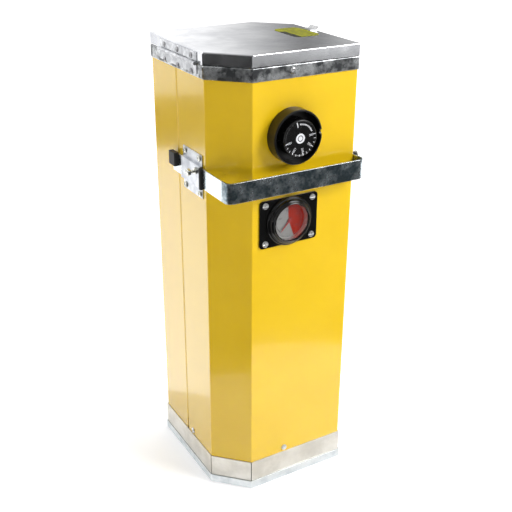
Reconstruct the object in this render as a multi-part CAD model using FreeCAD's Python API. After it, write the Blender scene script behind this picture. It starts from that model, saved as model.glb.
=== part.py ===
import FreeCAD
import Part
import math
import os

from FreeCAD import Vector

# Portable oven that keeps stick welding electrodes dry: a tall sheet-metal case with two of
# its four corners cut off, a round heated chamber inside, a hinged lid on top, a thermostat
# and a dial thermometer on the front, and a strap handle that slides in two side brackets.
# Millimetres, +Z up, origin at the middle of the underside.  The front faces -Y.

# ---- overall sizes -------------------------------------------------------------------------
overall_height = 540.0        # to the lid's top
case_width = 167.0            # across the flats, the same left to right and front to back
corner_cut = 36.5             # leg of the cut-off corners, front-left and back-right
tray_height = 11.0
pan_height = 38.2             # height of the folded pan that stands in the tray
collar_skirt = 14.0
lid_skirt = 13.0
lid_gap = 0.6                 # open joint between the collar and the lid's skirt

# ---- sheets and general clearances ----------------------------------------------------------
case_sheet = 1.2
zinc_sheet = 1.0
tray_sheet = 0.8
nest_gap = 0.1                # between sheet shells that slip over each other
tray_gap = 0.3                # between the pan and the tray's wall
bend_radius = 2.0             # outside radius of the vertical folds
fold_radius = 1.3             # outside radius of the folds round a top or a bottom
slit_width = 1.1              # open butt joint where two folded skirts meet
running_gap = 0.05            # radial, every shaft or pin that turns
screw_gap = 0.05              # radial, every screw or rivet in its hole
seat_gap = 0.3                # between parts that move past each other

# ---- case halves ----------------------------------------------------------------------------
seam_offset = 17.0            # seams stand this far from the middle of the side faces
lap_length = 12.0
joggle_length = 2.6
seam_gap = 0.9                # dark line left open beside each seam
frame_height = 50.0           # inner frame that the case is screwed to

# ---- chamber, heater and insulation ------------------------------------------------------------
chamber_bore = 73.0
chamber_wall = 1.6
chamber_rim = 0.7             # how far the chamber's rim stands above the deck
floor_plate = 1.6
base_board = 23.6             # insulating board under the chamber
element_rod = 4.4
element_legs = 10
element_pitch = 24.0          # degrees between neighbouring legs
element_stand = 1.4           # between the chamber and the heater rod
element_low = 62.0            # bottom of the heater's straight legs
element_drop = 26.0           # top of the straight legs, below the deck
terminal_length = 16.0
clip_gap = 0.25
clip_wall = 0.6
clip_width = 10.0
clip_pitch = 110.0            # between the bands that hold the heater
clip_drop = 54.0              # first band below the top of the heater's legs
blanket_air = 5.4             # air gap between the blanket and the case
blanket_clearance = 1.0       # between the bands and the blanket's bore
blanket_top_gap = 4.0

# ---- thermostat -----------------------------------------------------------------------------
stat_drop = 59.9              # knob's centre below the collar
guard_radius = 29.5
guard_wall = 2.0
guard_depth = 15.4
guard_floor = 1.6
notch_radius = 3.2
notch_angle = 5.0             # degrees above the level line, on the right
knob_radius = 20.3
knob_front = 19.0             # distance of the knob's face from the case
knob_skirt_gap = 2.2          # from the guard's floor to the knob
knob_wall = 2.4
spindle_radius = 3.0
spindle_flat = 0.8
spindle_room = 2.0            # radial, round the spindle in the case and the guard
hub_wall = 3.0                # of the knob's hub round the spindle
stat_body_radius = 24.0
stat_body_depth = 26.0
stat_screw_spacing = 28.0
terminal_block = 7.0
terminal_depth = 18.0
bulb_radius = 2.8
bulb_length = 80.0
bulb_gap = 0.15
bulb_angle = 220.0            # place of the bulb round the chamber, degrees
bulb_drop = 120.0             # bulb's lower end below the knob's centre
capillary_radius = 0.9
capillary_bend = 3.0
capillary_drop = 18.0         # capillary's level run below the knob's centre

# ---- dial thermometer ---------------------------------------------------------------------
gauge_x = -1.4
gauge_drop = 157.6            # dial's centre below the collar
plate_width = 74.0
plate_height = 55.6
plate_sheet = 1.6
plate_corner = 4.0
plate_screw_x = 60.0
plate_screw_z = 44.7
bezel_radius = 28.6
bezel_depth = 8.6
bezel_step = 2.6
dial_radius = 21.0
dial_sheet = 0.6
glass_sheet = 1.4
gauge_case_radius = 24.5
gauge_case_depth = 14.0
gauge_case_wall = 1.2
gauge_floor = 8.0             # depth of the case's hollow behind the plate's face
stem_radius = 3.2
stem_gap = 0.3                # between the stem's tip and the chamber
needle_bore = 1.3
needle_length = 15.7
needle_tail = 4.5
needle_sheet = 0.4
needle_angle = 228.0          # degrees from the right, counter-clockwise seen from the front

# ---- handle strap and its side brackets ---------------------------------------------------
handle_drop = 107.1           # strap's middle below the collar
strap_height = 22.4
strap_sheet = 2.0
strap_gap = 0.8               # between the strap's arms and the case
strap_reach = 18.6            # front run's outer face ahead of the case
strap_bend = 8.0              # outside radius of the strap's corners
bracket_length = 46.0
bracket_height = 49.0
bracket_sheet = 1.2
bracket_inset = 5.7           # from the front edge of the side face
bracket_screw_y = 34.6
bracket_screw_z = 40.4
slide_gap = 0.3               # strap to bracket, across and above and below
slide_travel = 8.0
stop_gap = 0.3
front_stop_width = 5.0
front_stop_margin = 1.1       # pad's reach above and below the strap
front_stop_depth = 3.8
rear_stop_length = 14.5
rear_stop_height = 15.6
rear_stop_depth = 6.0
rear_stop_rise = 5.4          # rear stops stand above the strap's middle by this much
clamp_radius = 2.0
clamp_inset = 9.0             # bolt's distance from the bracket's front edge
clamp_rise = 5.7              # bolt's height above the strap's middle
clamp_reach = 11.0            # from the bracket to the outer face of the bolt's head
clamp_head = 7.6              # across flats
clamp_head_height = 3.6
clamp_nut = 7.0
clamp_nut_height = 2.2

# ---- lid, hinge and hook --------------------------------------------------------------------
gasket_margin = 3.9           # from the chamber's rim to the gasket
gasket_width = 6.0
liner_margin = 2.0            # from the gasket to the liner's wall
liner_depth = 11.0
liner_sheet = 0.8
liner_brim = 6.0
hinge_length = 90.0
hinge_middle = 10.0           # hinge's middle along Y
hinge_sheet = 0.9
hinge_pin_radius = 1.1
hinge_knuckles = 9
knuckle_gap = 0.3
hinge_leaf = 11.0
hinge_stand = 0.25            # from the knuckles to the lid's side
rivet_spacing = 33.0
rivet_drop = 9.6              # of the lower leaf's rivets below the collar's top
rivet_rise = 6.0              # of the upper leaf's rivets above the lid's lower edge
rivet_radius = 1.6
rivet_head = 3.1
rivet_dome = 1.3
latch_middle = 6.5            # latch's middle along Y
keeper_width = 15.0
keeper_sheet = 1.2
keeper_flange = 7.5           # flat part on the lid
keeper_rise = 3.6             # lip's height above the lid
keeper_overhang = 1.2         # lip's edge past the lid's side
bail_wire = 2.4
bail_gap = 1.6                # from the keeper's sides to the bail's legs
bail_drop = 22.4              # bail's pivot below the collar
bail_stand = 5.0              # bail's pivot ahead of the case
bail_claw = 8.0               # inward bend of the bail's end, once it is hooked up
bail_reach = 4.0              # height of the hooked bail's bar above the lid
bail_bend = 2.2
bail_hold = 4.7               # length of the ends turned into the lugs
lug_sheet = 1.2
lug_height = 20.0
latch_rivet_rise = 5.6        # each rivet above or below the bail's pivot
lug_radius = 3.4              # rounded end of each lug, about the bail's pivot
label_width = 32.0
label_length = 53.0
label_corner = 8.0
label_sheet = 0.3
label_x = 57.8
label_y = 1.0

# ---- power inlet at the back, and the leads behind it ----------------------------------------
inlet_x = -22.0
inlet_z = 84.0
inlet_width = 27.6
inlet_height = 20.0
inlet_inside = 20.0           # depth of its body behind the case
inlet_flange = 2.4
inlet_flange_width = 50.0
inlet_flange_height = 24.0
inlet_wall = 1.8
inlet_screw_spacing = 40.0
pin_width = 2.0
pin_height = 4.0
pin_pitch = 7.0
pin_length = 11.5
pin_tail = 7.0
pin_offset = 1.5              # live and neutral pins below the inlet's middle
earth_rise = 3.0
lead_radius = 1.4
lead_bend = 3.2
lead_stand = 2.0              # from the blanket or the inlet to a lead's middle
lead_room = 3.0               # clear of the leads on their way to the thermostat
lead_pitch = 9.0              # between leads that run side by side
lead_climb = 23.0             # where the first of them climbs the left side, along Y
lead_level = 36.0             # height of the leads under the heater

# ---- screws -------------------------------------------------------------------------------
screw_radius = 1.75
screw_length = 6.0
screw_head = 3.6
screw_head_height = 1.9

# ---- places that follow from the sizes above ---------------------------------------------------
half = case_width / 2
inner_half = half - case_sheet
shell_inner = half + nest_gap
shell_outer = shell_inner + zinc_sheet
tray_inner = shell_outer + tray_gap
tray_outer = tray_inner + tray_sheet
pan_floor = tray_sheet + zinc_sheet
pan_top = tray_sheet + pan_height
lid_top = overall_height
lid_low = lid_top - lid_skirt
collar_top = lid_low - lid_gap
collar_low = collar_top - collar_skirt
deck_under = collar_top - zinc_sheet
frame_top = pan_floor + frame_height
front = -half
chamber_outer = chamber_bore / 2 + chamber_wall
board_top = pan_floor + base_board
chamber_low = board_top + floor_plate
chamber_top = collar_top + chamber_rim
element_orbit = chamber_outer + element_stand + element_rod / 2
element_high = deck_under - element_drop
clip_inner = element_orbit + element_rod / 2 + clip_gap
blanket_bore = clip_inner + clip_wall + blanket_clearance
blanket_half = inner_half - blanket_air
stat_z = collar_low - stat_drop
gauge_z = collar_low - gauge_drop
handle_z = collar_low - handle_drop
gasket_inner = chamber_outer + gasket_margin
gasket_outer = gasket_inner + gasket_width
liner_radius = gasket_outer + liner_margin
front_stop_height = strap_height + 2 * front_stop_margin
bail_x = half + bail_stand
bail_z = collar_low - bail_drop

X = Vector(1, 0, 0)
Y = Vector(0, 1, 0)
Z = Vector(0, 0, 1)


def leg_for(size):
    """Corner cut of an outline parallel to the case, at the given half width."""
    return corner_cut + (size - half) * (2 - math.sqrt(2))


def outline(size):
    """Six corners of the case's plan, at the given half width, from the back left on."""
    leg = leg_for(size)
    return [(-size, size), (-size, leg - size), (leg - size, -size),
            (size, -size), (size, size - leg), (size - leg, size)]


def rounded_wire(points, radius, z):
    """Closed wire through the points at height z, with an arc of the radius at each corner."""
    edges = []
    count = len(points)
    ends = []
    for i in range(count):
        here = Vector(points[i][0], points[i][1], z)
        to_last = Vector(points[i - 1][0], points[i - 1][1], z) - here
        to_next = Vector(points[(i + 1) % count][0], points[(i + 1) % count][1], z) - here
        turn = to_last.getAngle(to_next)
        cut = radius / math.tan(turn / 2)
        to_last.normalize()
        to_next.normalize()
        bisector = to_last + to_next
        bisector.normalize()
        middle = here + bisector * (radius / math.sin(turn / 2) - radius)
        ends.append((here + to_last * cut, middle, here + to_next * cut))
    for i in range(count):
        start, middle, end = ends[i]
        edges.append(Part.Arc(start, middle, end).toShape())
        edges.append(Part.LineSegment(end, ends[(i + 1) % count][0]).toShape())
    return Part.Wire(edges)


def prism(points, radius, low, high):
    """Upright prism over rounded points."""
    return Part.Face(rounded_wire(points, radius, low)).extrude(Vector(0, 0, high - low))


def plate(points, low, high):
    """Upright prism over sharp points."""
    ring = [Vector(x, y, low) for x, y in points]
    return Part.Face(Part.makePolygon(ring + ring[:1])).extrude(Vector(0, 0, high - low))


def block(x0, x1, y0, y1, z0, z1):
    """Box between two values on each axis."""
    return Part.makeBox(x1 - x0, y1 - y0, z1 - z0, Vector(x0, y0, z0))


def rod(start, axis, radius, length):
    """Cylinder from a point along an axis."""
    return Part.makeCylinder(radius, length, start, axis)


def ring(start, axis, inner, outer, length):
    """Round tube from a point along an axis."""
    return rod(start, axis, outer, length).cut(rod(start - axis, axis, inner, length + 2))


def turned(profile, start, axis):
    """Solid of revolution.  The profile is (radius, height) pairs along the axis."""
    spots = [Vector(r, 0, h) for r, h in profile]
    face = Part.Face(Part.makePolygon(spots + spots[:1]))
    solid = face.revolve(Vector(0, 0, 0), Z, 360)
    return aimed(solid, start, axis)


def aimed(solid, start, axis):
    """Moves a solid made about +Z at the origin so that +Z lies along the axis at start."""
    solid.Placement = FreeCAD.Placement(start, FreeCAD.Rotation(Z, axis))
    return solid


def dome_profile(radius, height, steps=6):
    """Points of a low dome's edge, from its rim to its top."""
    points = []
    for i in range(steps + 1):
        angle = math.pi / 2 * i / steps
        points.append((radius * math.cos(angle), height * math.sin(angle)))
    return points


def rivet(spot, axis, length):
    """Round-head rivet whose head sits on spot and whose shank runs against the axis."""
    outline_points = [(0, -length), (rivet_radius, -length), (rivet_radius, 0)]
    outline_points += dome_profile(rivet_head, rivet_dome)
    return turned(outline_points, spot, axis)


def pan_screw(spot, axis, crossed=True, length=screw_length):
    """Pan-head screw whose head sits on spot, with a cross or a single slot in the head."""
    body = [(0, -length), (screw_radius * 0.5, -length), (screw_radius, 1.5 - length),
            (screw_radius, 0), (screw_head, 0), (screw_head, screw_head_height * 0.4)]
    body += [(screw_head * 0.86, screw_head_height * 0.85), (screw_head * 0.6, screw_head_height),
             (0, screw_head_height)]
    solid = turned(body, Vector(0, 0, 0), Z)
    reach = screw_head * (0.62 if crossed else 1.1)
    depth = screw_head_height * 0.5
    bar = block(-reach, reach, -0.4, 0.4, screw_head_height - depth, screw_head_height + 1)
    solid = solid.cut(bar)
    if crossed:
        bar.rotate(Vector(0, 0, 0), Z, 90)
        solid = solid.cut(bar)
    return aimed(solid, spot, axis)


def hexagon(spot, axis, flats, height):
    """Hexagonal prism with lightly turned corners."""
    reach = flats / math.sqrt(3)
    corners = [(reach * math.cos(math.radians(60 * i)), reach * math.sin(math.radians(60 * i)))
               for i in range(6)]
    solid = plate(corners, 0, height)
    solid = solid.common(turned([(0, 0), (reach, 0), (reach, height * 0.75),
                                 (flats * 0.46, height), (0, height)], Vector(0, 0, 0), Z))
    return aimed(solid, spot, axis)


def bent_path(points, radius):
    """Wire of straight runs joined by tangent arcs of one radius."""
    edges = []
    last = points[0]
    for i in range(1, len(points) - 1):
        here = points[i]
        back = points[i - 1] - here
        ahead = points[i + 1] - here
        turn = back.getAngle(ahead)
        cut = radius / math.tan(turn / 2)
        back.normalize()
        ahead.normalize()
        bisector = back + ahead
        bisector.normalize()
        middle = here + bisector * (radius / math.sin(turn / 2) - radius)
        edges.append(Part.LineSegment(last, here + back * cut).toShape())
        edges.append(Part.Arc(here + back * cut, middle, here + ahead * cut).toShape())
        last = here + ahead * cut
    edges.append(Part.LineSegment(last, points[-1]).toShape())
    return Part.Wire(edges)


def piped(path, radius):
    """Round rod along a path."""
    first = path.OrderedEdges[0]
    start = first.valueAt(first.FirstParameter)
    aim = first.tangentAt(first.FirstParameter)
    circle = Part.Wire([Part.Circle(start, aim, radius).toShape()])
    return path.makePipeShell([circle], True, False)


def mirrored(shape):
    """Copy on the other side, left for right."""
    return shape.mirror(Vector(0, 0, 0), X)


def save(name, shapes):
    """Writes one sub-part, a solid or a group of solids."""
    if not isinstance(shapes, list):
        shapes = [shapes]
    solids = []
    for shape in shapes:
        solids += shape.removeSplitter().Solids
    shape = solids[0] if len(solids) == 1 else Part.makeCompound(solids)
    shape.exportStep("parts/" + name + ".step")
    print(name, len(solids), round(sum(s.Volume for s in solids), 1),
          all(s.isValid() for s in solids))


# ---- base --------------------------------------------------------------------------------
def skirt_slits(low, high, corners):
    """Thin blocks that open the joint between two skirts at the numbered corners."""
    points = outline(half)
    slits = []
    for corner in corners:
        here = Vector(points[corner][0], points[corner][1], 0)
        back = Vector(points[corner - 1][0], points[corner - 1][1], 0) - here
        ahead = Vector(points[(corner + 1) % 6][0], points[(corner + 1) % 6][1], 0) - here
        back.normalize()
        ahead.normalize()
        inward = back + ahead
        blade = block(-4, 4, -slit_width / 2, slit_width / 2, low, high)
        blade.rotate(Vector(0, 0, 0), Z, math.degrees(math.atan2(inward.y, inward.x)))
        blade.translate(here)
        slits.append(blade)
    return slits


def edges_at(shape, height):
    """Edges that lie flat at one height."""
    found = []
    for edge in shape.Edges:
        box = edge.BoundBox
        if abs(box.ZMin - height) < 1e-6 and abs(box.ZMax - height) < 1e-6:
            found.append(edge)
    return found


def folded_cap(outer, wall, low, high, open_top):
    """Folded sheet cap over the case's outline, open at the bottom or at the top."""
    skin = prism(outline(outer), bend_radius, low, high)
    closed_end = low if open_top else high
    skin = skin.makeFillet(fold_radius, edges_at(skin, closed_end))
    room_low = low + wall if open_top else low - 1
    room_high = high + 1 if open_top else high - wall
    room = prism(outline(outer - wall), bend_radius - wall * 0.6, room_low, room_high)
    return skin.cut(room)


def make_base():
    tray = folded_cap(tray_outer, tray_sheet, 0, tray_height, True)
    pan = folded_cap(shell_outer, zinc_sheet, tray_sheet, pan_top, True)
    for slit in skirt_slits(tray_height * 0.5, pan_top + 1, (1, 2, 4, 5)):
        pan = pan.cut(slit)
    frame = prism(outline(inner_half - nest_gap), bend_radius, pan_floor, frame_top)
    frame_wall = inner_half - nest_gap - zinc_sheet
    frame = frame.cut(prism(outline(frame_wall), bend_radius - 0.8, pan_floor - 1, frame_top + 1))
    board = prism(outline(frame_wall - seat_gap), bend_radius, pan_floor, board_top)
    return tray, pan, frame, board


# ---- case halves ---------------------------------------------------------------------------
def front_half():
    """Half of the case that carries the instruments, with its lap tongue on the right."""
    low = pan_floor
    skin = prism(outline(half), bend_radius, low, deck_under)
    skin = skin.cut(prism(outline(inner_half), bend_radius - case_sheet * 0.6, low - 1,
                          deck_under + 1))
    far = case_width
    right_edge = -seam_offset - seam_gap - joggle_length
    keep = plate([(-far, seam_offset), (0, seam_offset), (0, right_edge), (far, right_edge),
                  (far, -far), (-far, -far)], low - 1, deck_under + 1)
    skin = skin.common(keep)
    under = inner_half - nest_gap
    tongue = plate([(half, right_edge), (under, right_edge + joggle_length),
                    (under, lap_length - seam_offset), (under - case_sheet, lap_length - seam_offset),
                    (under - case_sheet, right_edge + joggle_length - 0.3),
                    (inner_half, right_edge)],
                   frame_top + 2, deck_under - 2)
    return skin.fuse(tongue)


def half_turned(shape):
    """Copy turned half a turn about the case's own axis."""
    copy = shape.copy()
    copy.rotate(Vector(0, 0, 0), Z, 180)
    return copy


def side_front_edge(side):
    """Front edge of the left (-1) or the right (+1) side face."""
    return corner_cut - half if side < 0 else -half


def bracket_front(side):
    return side_front_edge(side) + bracket_inset


def bracket_screw_spots(side):
    middle = bracket_front(side) + bracket_length / 2
    return [(middle + sy * bracket_screw_y / 2, handle_z + sz * bracket_screw_z / 2)
            for sy in (-1, 1) for sz in (-1, 1)]


collar_screw_z = (collar_low + collar_top) / 2 + 0.6
base_screw_z = pan_top + 6.0
base_screw_spots = [(Vector(0, -half, base_screw_z), -Y), (Vector(0, half, base_screw_z), Y),
                    (Vector(-half, 3.6, base_screw_z), -X), (Vector(half, -3.6, base_screw_z), X)]
collar_screw_spots = [(Vector(0, -shell_outer, collar_screw_z), -Y),
                      (Vector(0, shell_outer, collar_screw_z), Y)]
plate_screw_spots = [(gauge_x + sx * plate_screw_x / 2, gauge_z + sz * plate_screw_z / 2)
                     for sx in (-1, 1) for sz in (-1, 1)]
stat_screw_spots = [(sx * stat_screw_spacing / 2, stat_z) for sx in (-1, 1)]
hinge_rivet_ys = [hinge_middle + i * rivet_spacing for i in (-1, 0, 1)]
rivet_low = collar_top - rivet_drop
rivet_high = lid_low + rivet_rise
latch_rivet_spots = [(latch_middle, bail_z + sz * latch_rivet_rise) for sz in (-1, 1)]
inlet_screw_spots = [(inlet_x + sx * inlet_screw_spacing / 2, inlet_z) for sx in (-1, 1)]


def drill(shape, spot, axis, radius, depth=12.0):
    """Round hole through a wall, from just outside it."""
    return shape.cut(rod(spot + axis * 2.0, -axis, radius, depth))


def make_case():
    skin = front_half()
    plain = half_turned(skin)
    hole = screw_radius + screw_gap
    fronts = [(Vector(x, front, z), -Y, hole) for x, z in plate_screw_spots + stat_screw_spots]
    fronts.append((Vector(0, front, stat_z), -Y, spindle_radius + spindle_room))
    fronts.append((Vector(gauge_x, front, gauge_z), -Y, gauge_case_radius + seat_gap))
    for spot, axis, radius in fronts:
        skin = drill(skin, spot, axis, radius)
    for spot, axis in base_screw_spots + collar_screw_spots:
        skin = drill(skin, spot, axis, hole)
        plain = drill(plain, spot, axis, hole)
    for side in (-1, 1):
        for y, z in bracket_screw_spots(side):
            skin = drill(skin, Vector(side * half, y, z), X * side, hole)
            plain = drill(plain, Vector(side * half, y, z), X * side, hole)
    for y in hinge_rivet_ys:
        skin = drill(skin, Vector(-half, y, rivet_low), -X, rivet_radius + screw_gap)
        plain = drill(plain, Vector(-half, y, rivet_low), -X, rivet_radius + screw_gap)
    for y, z in latch_rivet_spots:
        plain = drill(plain, Vector(half, y, z), X, rivet_radius + screw_gap)
    for x, z in inlet_screw_spots:
        plain = drill(plain, Vector(x, half, z), Y, hole)
    wide = inlet_width / 2 + screw_gap
    tall = inlet_height / 2 + screw_gap
    plain = plain.cut(block(inlet_x - wide, inlet_x + wide, half - 9, half + 9,
                            inlet_z - tall, inlet_z + tall))
    return skin, plain


def make_collar():
    collar = folded_cap(shell_outer, zinc_sheet, collar_low, collar_top, False)
    for slit in skirt_slits(collar_low - 1, collar_top - fold_radius - 0.4, (1, 4)):
        collar = collar.cut(slit)
    collar = collar.cut(rod(Vector(0, 0, deck_under - 1), Z, chamber_outer + nest_gap, 4))
    for spot, axis in collar_screw_spots:
        collar = drill(collar, spot, axis, screw_radius + screw_gap)
    for y in hinge_rivet_ys:
        collar = drill(collar, Vector(-shell_outer, y, rivet_low), -X, rivet_radius + screw_gap)
    return collar


# ---- chamber, heater, insulation ----------------------------------------------------------------
def leg_angle(i):
    """Direction of heater leg i, the group centred on the back of the chamber."""
    return math.radians(90 + (i - (element_legs - 1) / 2) * element_pitch)


def leg_spot(i, z):
    return Vector(element_orbit * math.cos(leg_angle(i)), element_orbit * math.sin(leg_angle(i)), z)


def make_element():
    """Sheathed heater rod bent up and down round the chamber, both ends at the bottom."""
    chord = 2 * element_orbit * math.sin(math.radians(element_pitch / 2))
    last = element_legs - 1
    edges = []
    for i in range(element_legs):
        low = leg_spot(i, element_low - terminal_length if i in (0, last) else element_low)
        high = leg_spot(i, element_high)
        up = i % 2 == 0
        edges.append(Part.LineSegment(low if up else high, high if up else low).toShape())
        if i < last:
            start = leg_spot(i, element_high if up else element_low)
            end = leg_spot(i + 1, start.z)
            crown = (start + end) * 0.5 + Vector(0, 0, chord / 2 if up else -chord / 2)
            edges.append(Part.Arc(start, crown, end).toShape())
    return piped(Part.Wire(edges), element_rod / 2)


def make_clips():
    """Thin bands that hold the heater and the sensing bulb against the chamber."""
    clips = []
    z = element_high - clip_drop
    while z > element_low + clip_width:
        clips.append(ring(Vector(0, 0, z - clip_width / 2), Z, clip_inner, clip_inner + clip_wall,
                          clip_width))
        z -= clip_pitch
    return clips


bulb_orbit = chamber_outer + bulb_gap + bulb_radius
bulb_spot = Vector(bulb_orbit * math.cos(math.radians(bulb_angle)),
                   bulb_orbit * math.sin(math.radians(bulb_angle)), stat_z - bulb_drop)
capillary_z = stat_z - capillary_drop
stat_back = front + case_sheet + stat_body_depth
air_x = blanket_half + lead_stand         # where leads run in the air gap round the blanket
inlet_low = inlet_z - inlet_height / 2 - lead_stand - lead_radius


def make_blanket():
    """Insulation that fills the case round the heater, with pockets for what passes it."""
    blanket = prism(outline(blanket_half), bend_radius, board_top, deck_under - blanket_top_gap)
    blanket = blanket.cut(rod(Vector(0, 0, 0), Z, blanket_bore, overall_height))
    width = stat_body_radius + terminal_block + 3
    blanket = blanket.cut(block(leg_for(air_x) - air_x - lead_room, width, -half, stat_back + 6,
                                stat_z - width, stat_z + width))
    reach = gauge_case_radius + 3
    blanket = blanket.cut(block(gauge_x - reach, gauge_x + reach, -half,
                                front + case_sheet + gauge_case_depth + 3,
                                gauge_z - reach, gauge_z + reach))
    blanket = blanket.cut(rod(Vector(gauge_x, -half, gauge_z), Y, stem_radius + 1, half))
    blanket = blanket.cut(block(bulb_spot.x - 4, 0, -half, bulb_spot.y + 4,
                                capillary_z - 4, capillary_z + 4))
    duct = lead_radius + 2.6
    side = inlet_width / 2 + 4
    tail_y = half - inlet_inside - pin_tail
    blanket = blanket.cut(block(inlet_x - side, inlet_x + side, tail_y - 10, half,
                                inlet_low - duct, inlet_z + inlet_height / 2 + 4))
    blanket = blanket.cut(block(inlet_x + pin_pitch - duct, inlet_x + pin_pitch + duct, 0, tail_y,
                                lead_level - duct, inlet_z))
    tail = leg_spot(element_legs - 1, lead_level)
    return blanket.cut(block(-half, tail.x, tail.y - duct, tail.y + duct, lead_level - duct,
                             lead_level + duct))


def make_chamber():
    tube = ring(Vector(0, 0, chamber_low), Z, chamber_bore / 2, chamber_outer,
                chamber_top - chamber_low)
    floor = rod(Vector(0, 0, board_top), Z, chamber_outer, floor_plate)
    return tube, floor


# ---- thermostat ---------------------------------------------------------------------------
def make_thermostat():
    centre = Vector(0, front, stat_z)
    guard = turned([(0, 0), (guard_radius, 0), (guard_radius, guard_depth - 0.8),
                    (guard_radius - 0.8, guard_depth), (guard_radius - guard_wall, guard_depth),
                    (guard_radius - guard_wall, guard_floor), (0, guard_floor)], centre, -Y)
    guard = guard.cut(rod(centre - Y * 30, Y, spindle_radius + spindle_room, 60))
    notch = math.radians(notch_angle)
    across = guard_radius * math.cos(notch)
    rim = centre + Vector(across, -guard_depth, guard_radius * math.sin(notch))
    inward = Vector(-math.cos(notch), 0, -math.sin(notch))
    guard = guard.cut(rod(rim - inward * 3, inward, notch_radius, guard_wall + 6))
    for x, z in stat_screw_spots:
        guard = drill(guard, Vector(x, front - guard_floor, z), -Y, screw_radius + screw_gap, 14)
    body = turned([(0, 0), (stat_body_radius, 0), (stat_body_radius, stat_body_depth - 4),
                   (stat_body_radius - 3, stat_body_depth), (0, stat_body_depth)],
                  Vector(0, front + case_sheet, stat_z), Y)
    side = block(-stat_body_radius - terminal_block, 0, front + case_sheet,
                 front + case_sheet + terminal_depth, stat_z - 12, stat_z + 12)
    body = body.fuse(side)
    body = body.cut(rod(centre, Y, spindle_radius + running_gap, case_sheet + stat_body_depth - 8))
    for x, z in stat_screw_spots:
        body = body.cut(rod(Vector(x, front, z), Y, screw_radius + screw_gap, 10))
    screws = [pan_screw(Vector(x, front - guard_floor, z), -Y, False) for x, z in stat_screw_spots]
    return guard, body, screws


def make_knob():
    back = guard_floor + knob_skirt_gap
    start = Vector(0, front, stat_z)
    skin = turned([(0, back), (knob_radius, back), (knob_radius, knob_front - 1.6),
                   (knob_radius - 0.5, knob_front - 0.5), (knob_radius - 1.6, knob_front),
                   (0, knob_front)], start, -Y)
    room = turned([(0, back - 1), (knob_radius - knob_wall, back - 1),
                   (knob_radius - knob_wall, knob_front - knob_wall - 1), (0, knob_front - knob_wall - 1)],
                  start, -Y)
    hub = rod(start - Y * back, -Y, spindle_radius + hub_wall, knob_front - back - 1)
    knob = skin.cut(room).fuse(hub)
    return knob.cut(spindle_shape(screw_gap, knob_front - knob_wall))


def spindle_shape(grow, reach):
    """Turning spindle with a flat at the knob's end, its tip at the given reach."""
    tail = case_sheet + stat_body_depth - 9
    shaft = rod(Vector(0, front + tail, stat_z), -Y, spindle_radius + grow, tail + reach)
    flat = block(-spindle_radius - 2, spindle_radius + 2, front - reach - 1,
                 front - guard_floor - knob_skirt_gap, stat_z + spindle_radius - spindle_flat + grow,
                 stat_z + spindle_radius + 3)
    return shaft.cut(flat)


def make_sensor():
    bulb = rod(bulb_spot, Z, bulb_radius, bulb_length)
    bulb = bulb.makeFillet(1.0, edges_at(bulb, bulb_spot.z))
    head = bulb_spot + Z * bulb_length
    route = [head, Vector(head.x, head.y, capillary_z), Vector(-8, stat_back + 5.5, capillary_z),
             Vector(-8, stat_back, capillary_z)]
    return bulb, piped(bent_path(route, capillary_bend), capillary_radius)


# ---- dial thermometer ---------------------------------------------------------------------
def make_gauge():
    x0 = gauge_x - plate_width / 2
    z0 = gauge_z - plate_height / 2
    corners = [(0, 0), (plate_width, 0), (plate_width, plate_height), (0, plate_height)]
    panel = Part.Face(rounded_wire(corners, plate_corner, 0)).extrude(Vector(0, 0, plate_sheet))
    panel.rotate(Vector(0, 0, 0), X, 90)
    panel.translate(Vector(x0, front, z0))
    centre = Vector(gauge_x, front, gauge_z)
    panel = panel.cut(rod(centre - Y * 10, Y, gauge_case_radius + screw_gap, 20))
    for x, z in plate_screw_spots:
        panel = drill(panel, Vector(x, front - plate_sheet, z), -Y, screw_radius + screw_gap)
    screws = [pan_screw(Vector(x, front - plate_sheet, z), -Y, False) for x, z in plate_screw_spots]
    face = centre - Y * plate_sheet
    bezel = turned([(gauge_case_radius + nest_gap, 0), (bezel_radius, 0),
                    (bezel_radius, 1.6), (bezel_radius - 0.7, 2.6),
                    (bezel_radius - bezel_step, 3.0), (bezel_radius - bezel_step - 0.2, 5.2),
                    (bezel_radius - bezel_step - 1.0, 6.2), (bezel_radius - 2 * bezel_step + 0.3, 6.6),
                    (bezel_radius - 2 * bezel_step, bezel_depth - 0.8),
                    (bezel_radius - 2 * bezel_step - 0.8, bezel_depth),
                    (dial_radius + 0.6, bezel_depth), (dial_radius, bezel_depth - 0.9),
                    (dial_radius, bezel_depth - 2.0), (gauge_case_radius + nest_gap, bezel_depth - 2.4)],
                   face, -Y)
    cup_front = bezel_depth - 2.6
    cup_inner = gauge_case_radius - gauge_case_wall
    cup = turned([(0, -gauge_case_depth), (gauge_case_radius - 2, -gauge_case_depth),
                  (gauge_case_radius, 2 - gauge_case_depth), (gauge_case_radius, cup_front - 0.1),
                  (cup_inner, cup_front - 0.1), (cup_inner, -gauge_floor), (0, -gauge_floor)],
                 face, -Y)
    stem_hole = stem_radius + running_gap
    cup = cup.cut(rod(centre - Y * 20, Y, stem_hole, 60))
    dial_back = -1.0
    fit = cup_inner - nest_gap
    dial_face = dial_back + dial_sheet
    glass_back = cup_front - glass_sheet - 0.2
    dial = turned([(needle_bore, dial_back), (fit, dial_back), (fit, dial_face),
                   (needle_bore, dial_face)], face, -Y)
    collar = turned([(dial_radius - 0.7, dial_face), (fit, dial_face), (fit, glass_back),
                     (dial_radius + 0.6, glass_back)], face, -Y)
    glass = rod(face - Y * glass_back, -Y, fit, glass_sheet)
    stem_start = front - plate_sheet + gauge_floor
    stem = rod(Vector(gauge_x, stem_start, gauge_z), Y, stem_radius,
               -stem_start - chamber_outer - stem_gap)
    return panel, screws, bezel, cup, dial, collar, glass, stem


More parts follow.
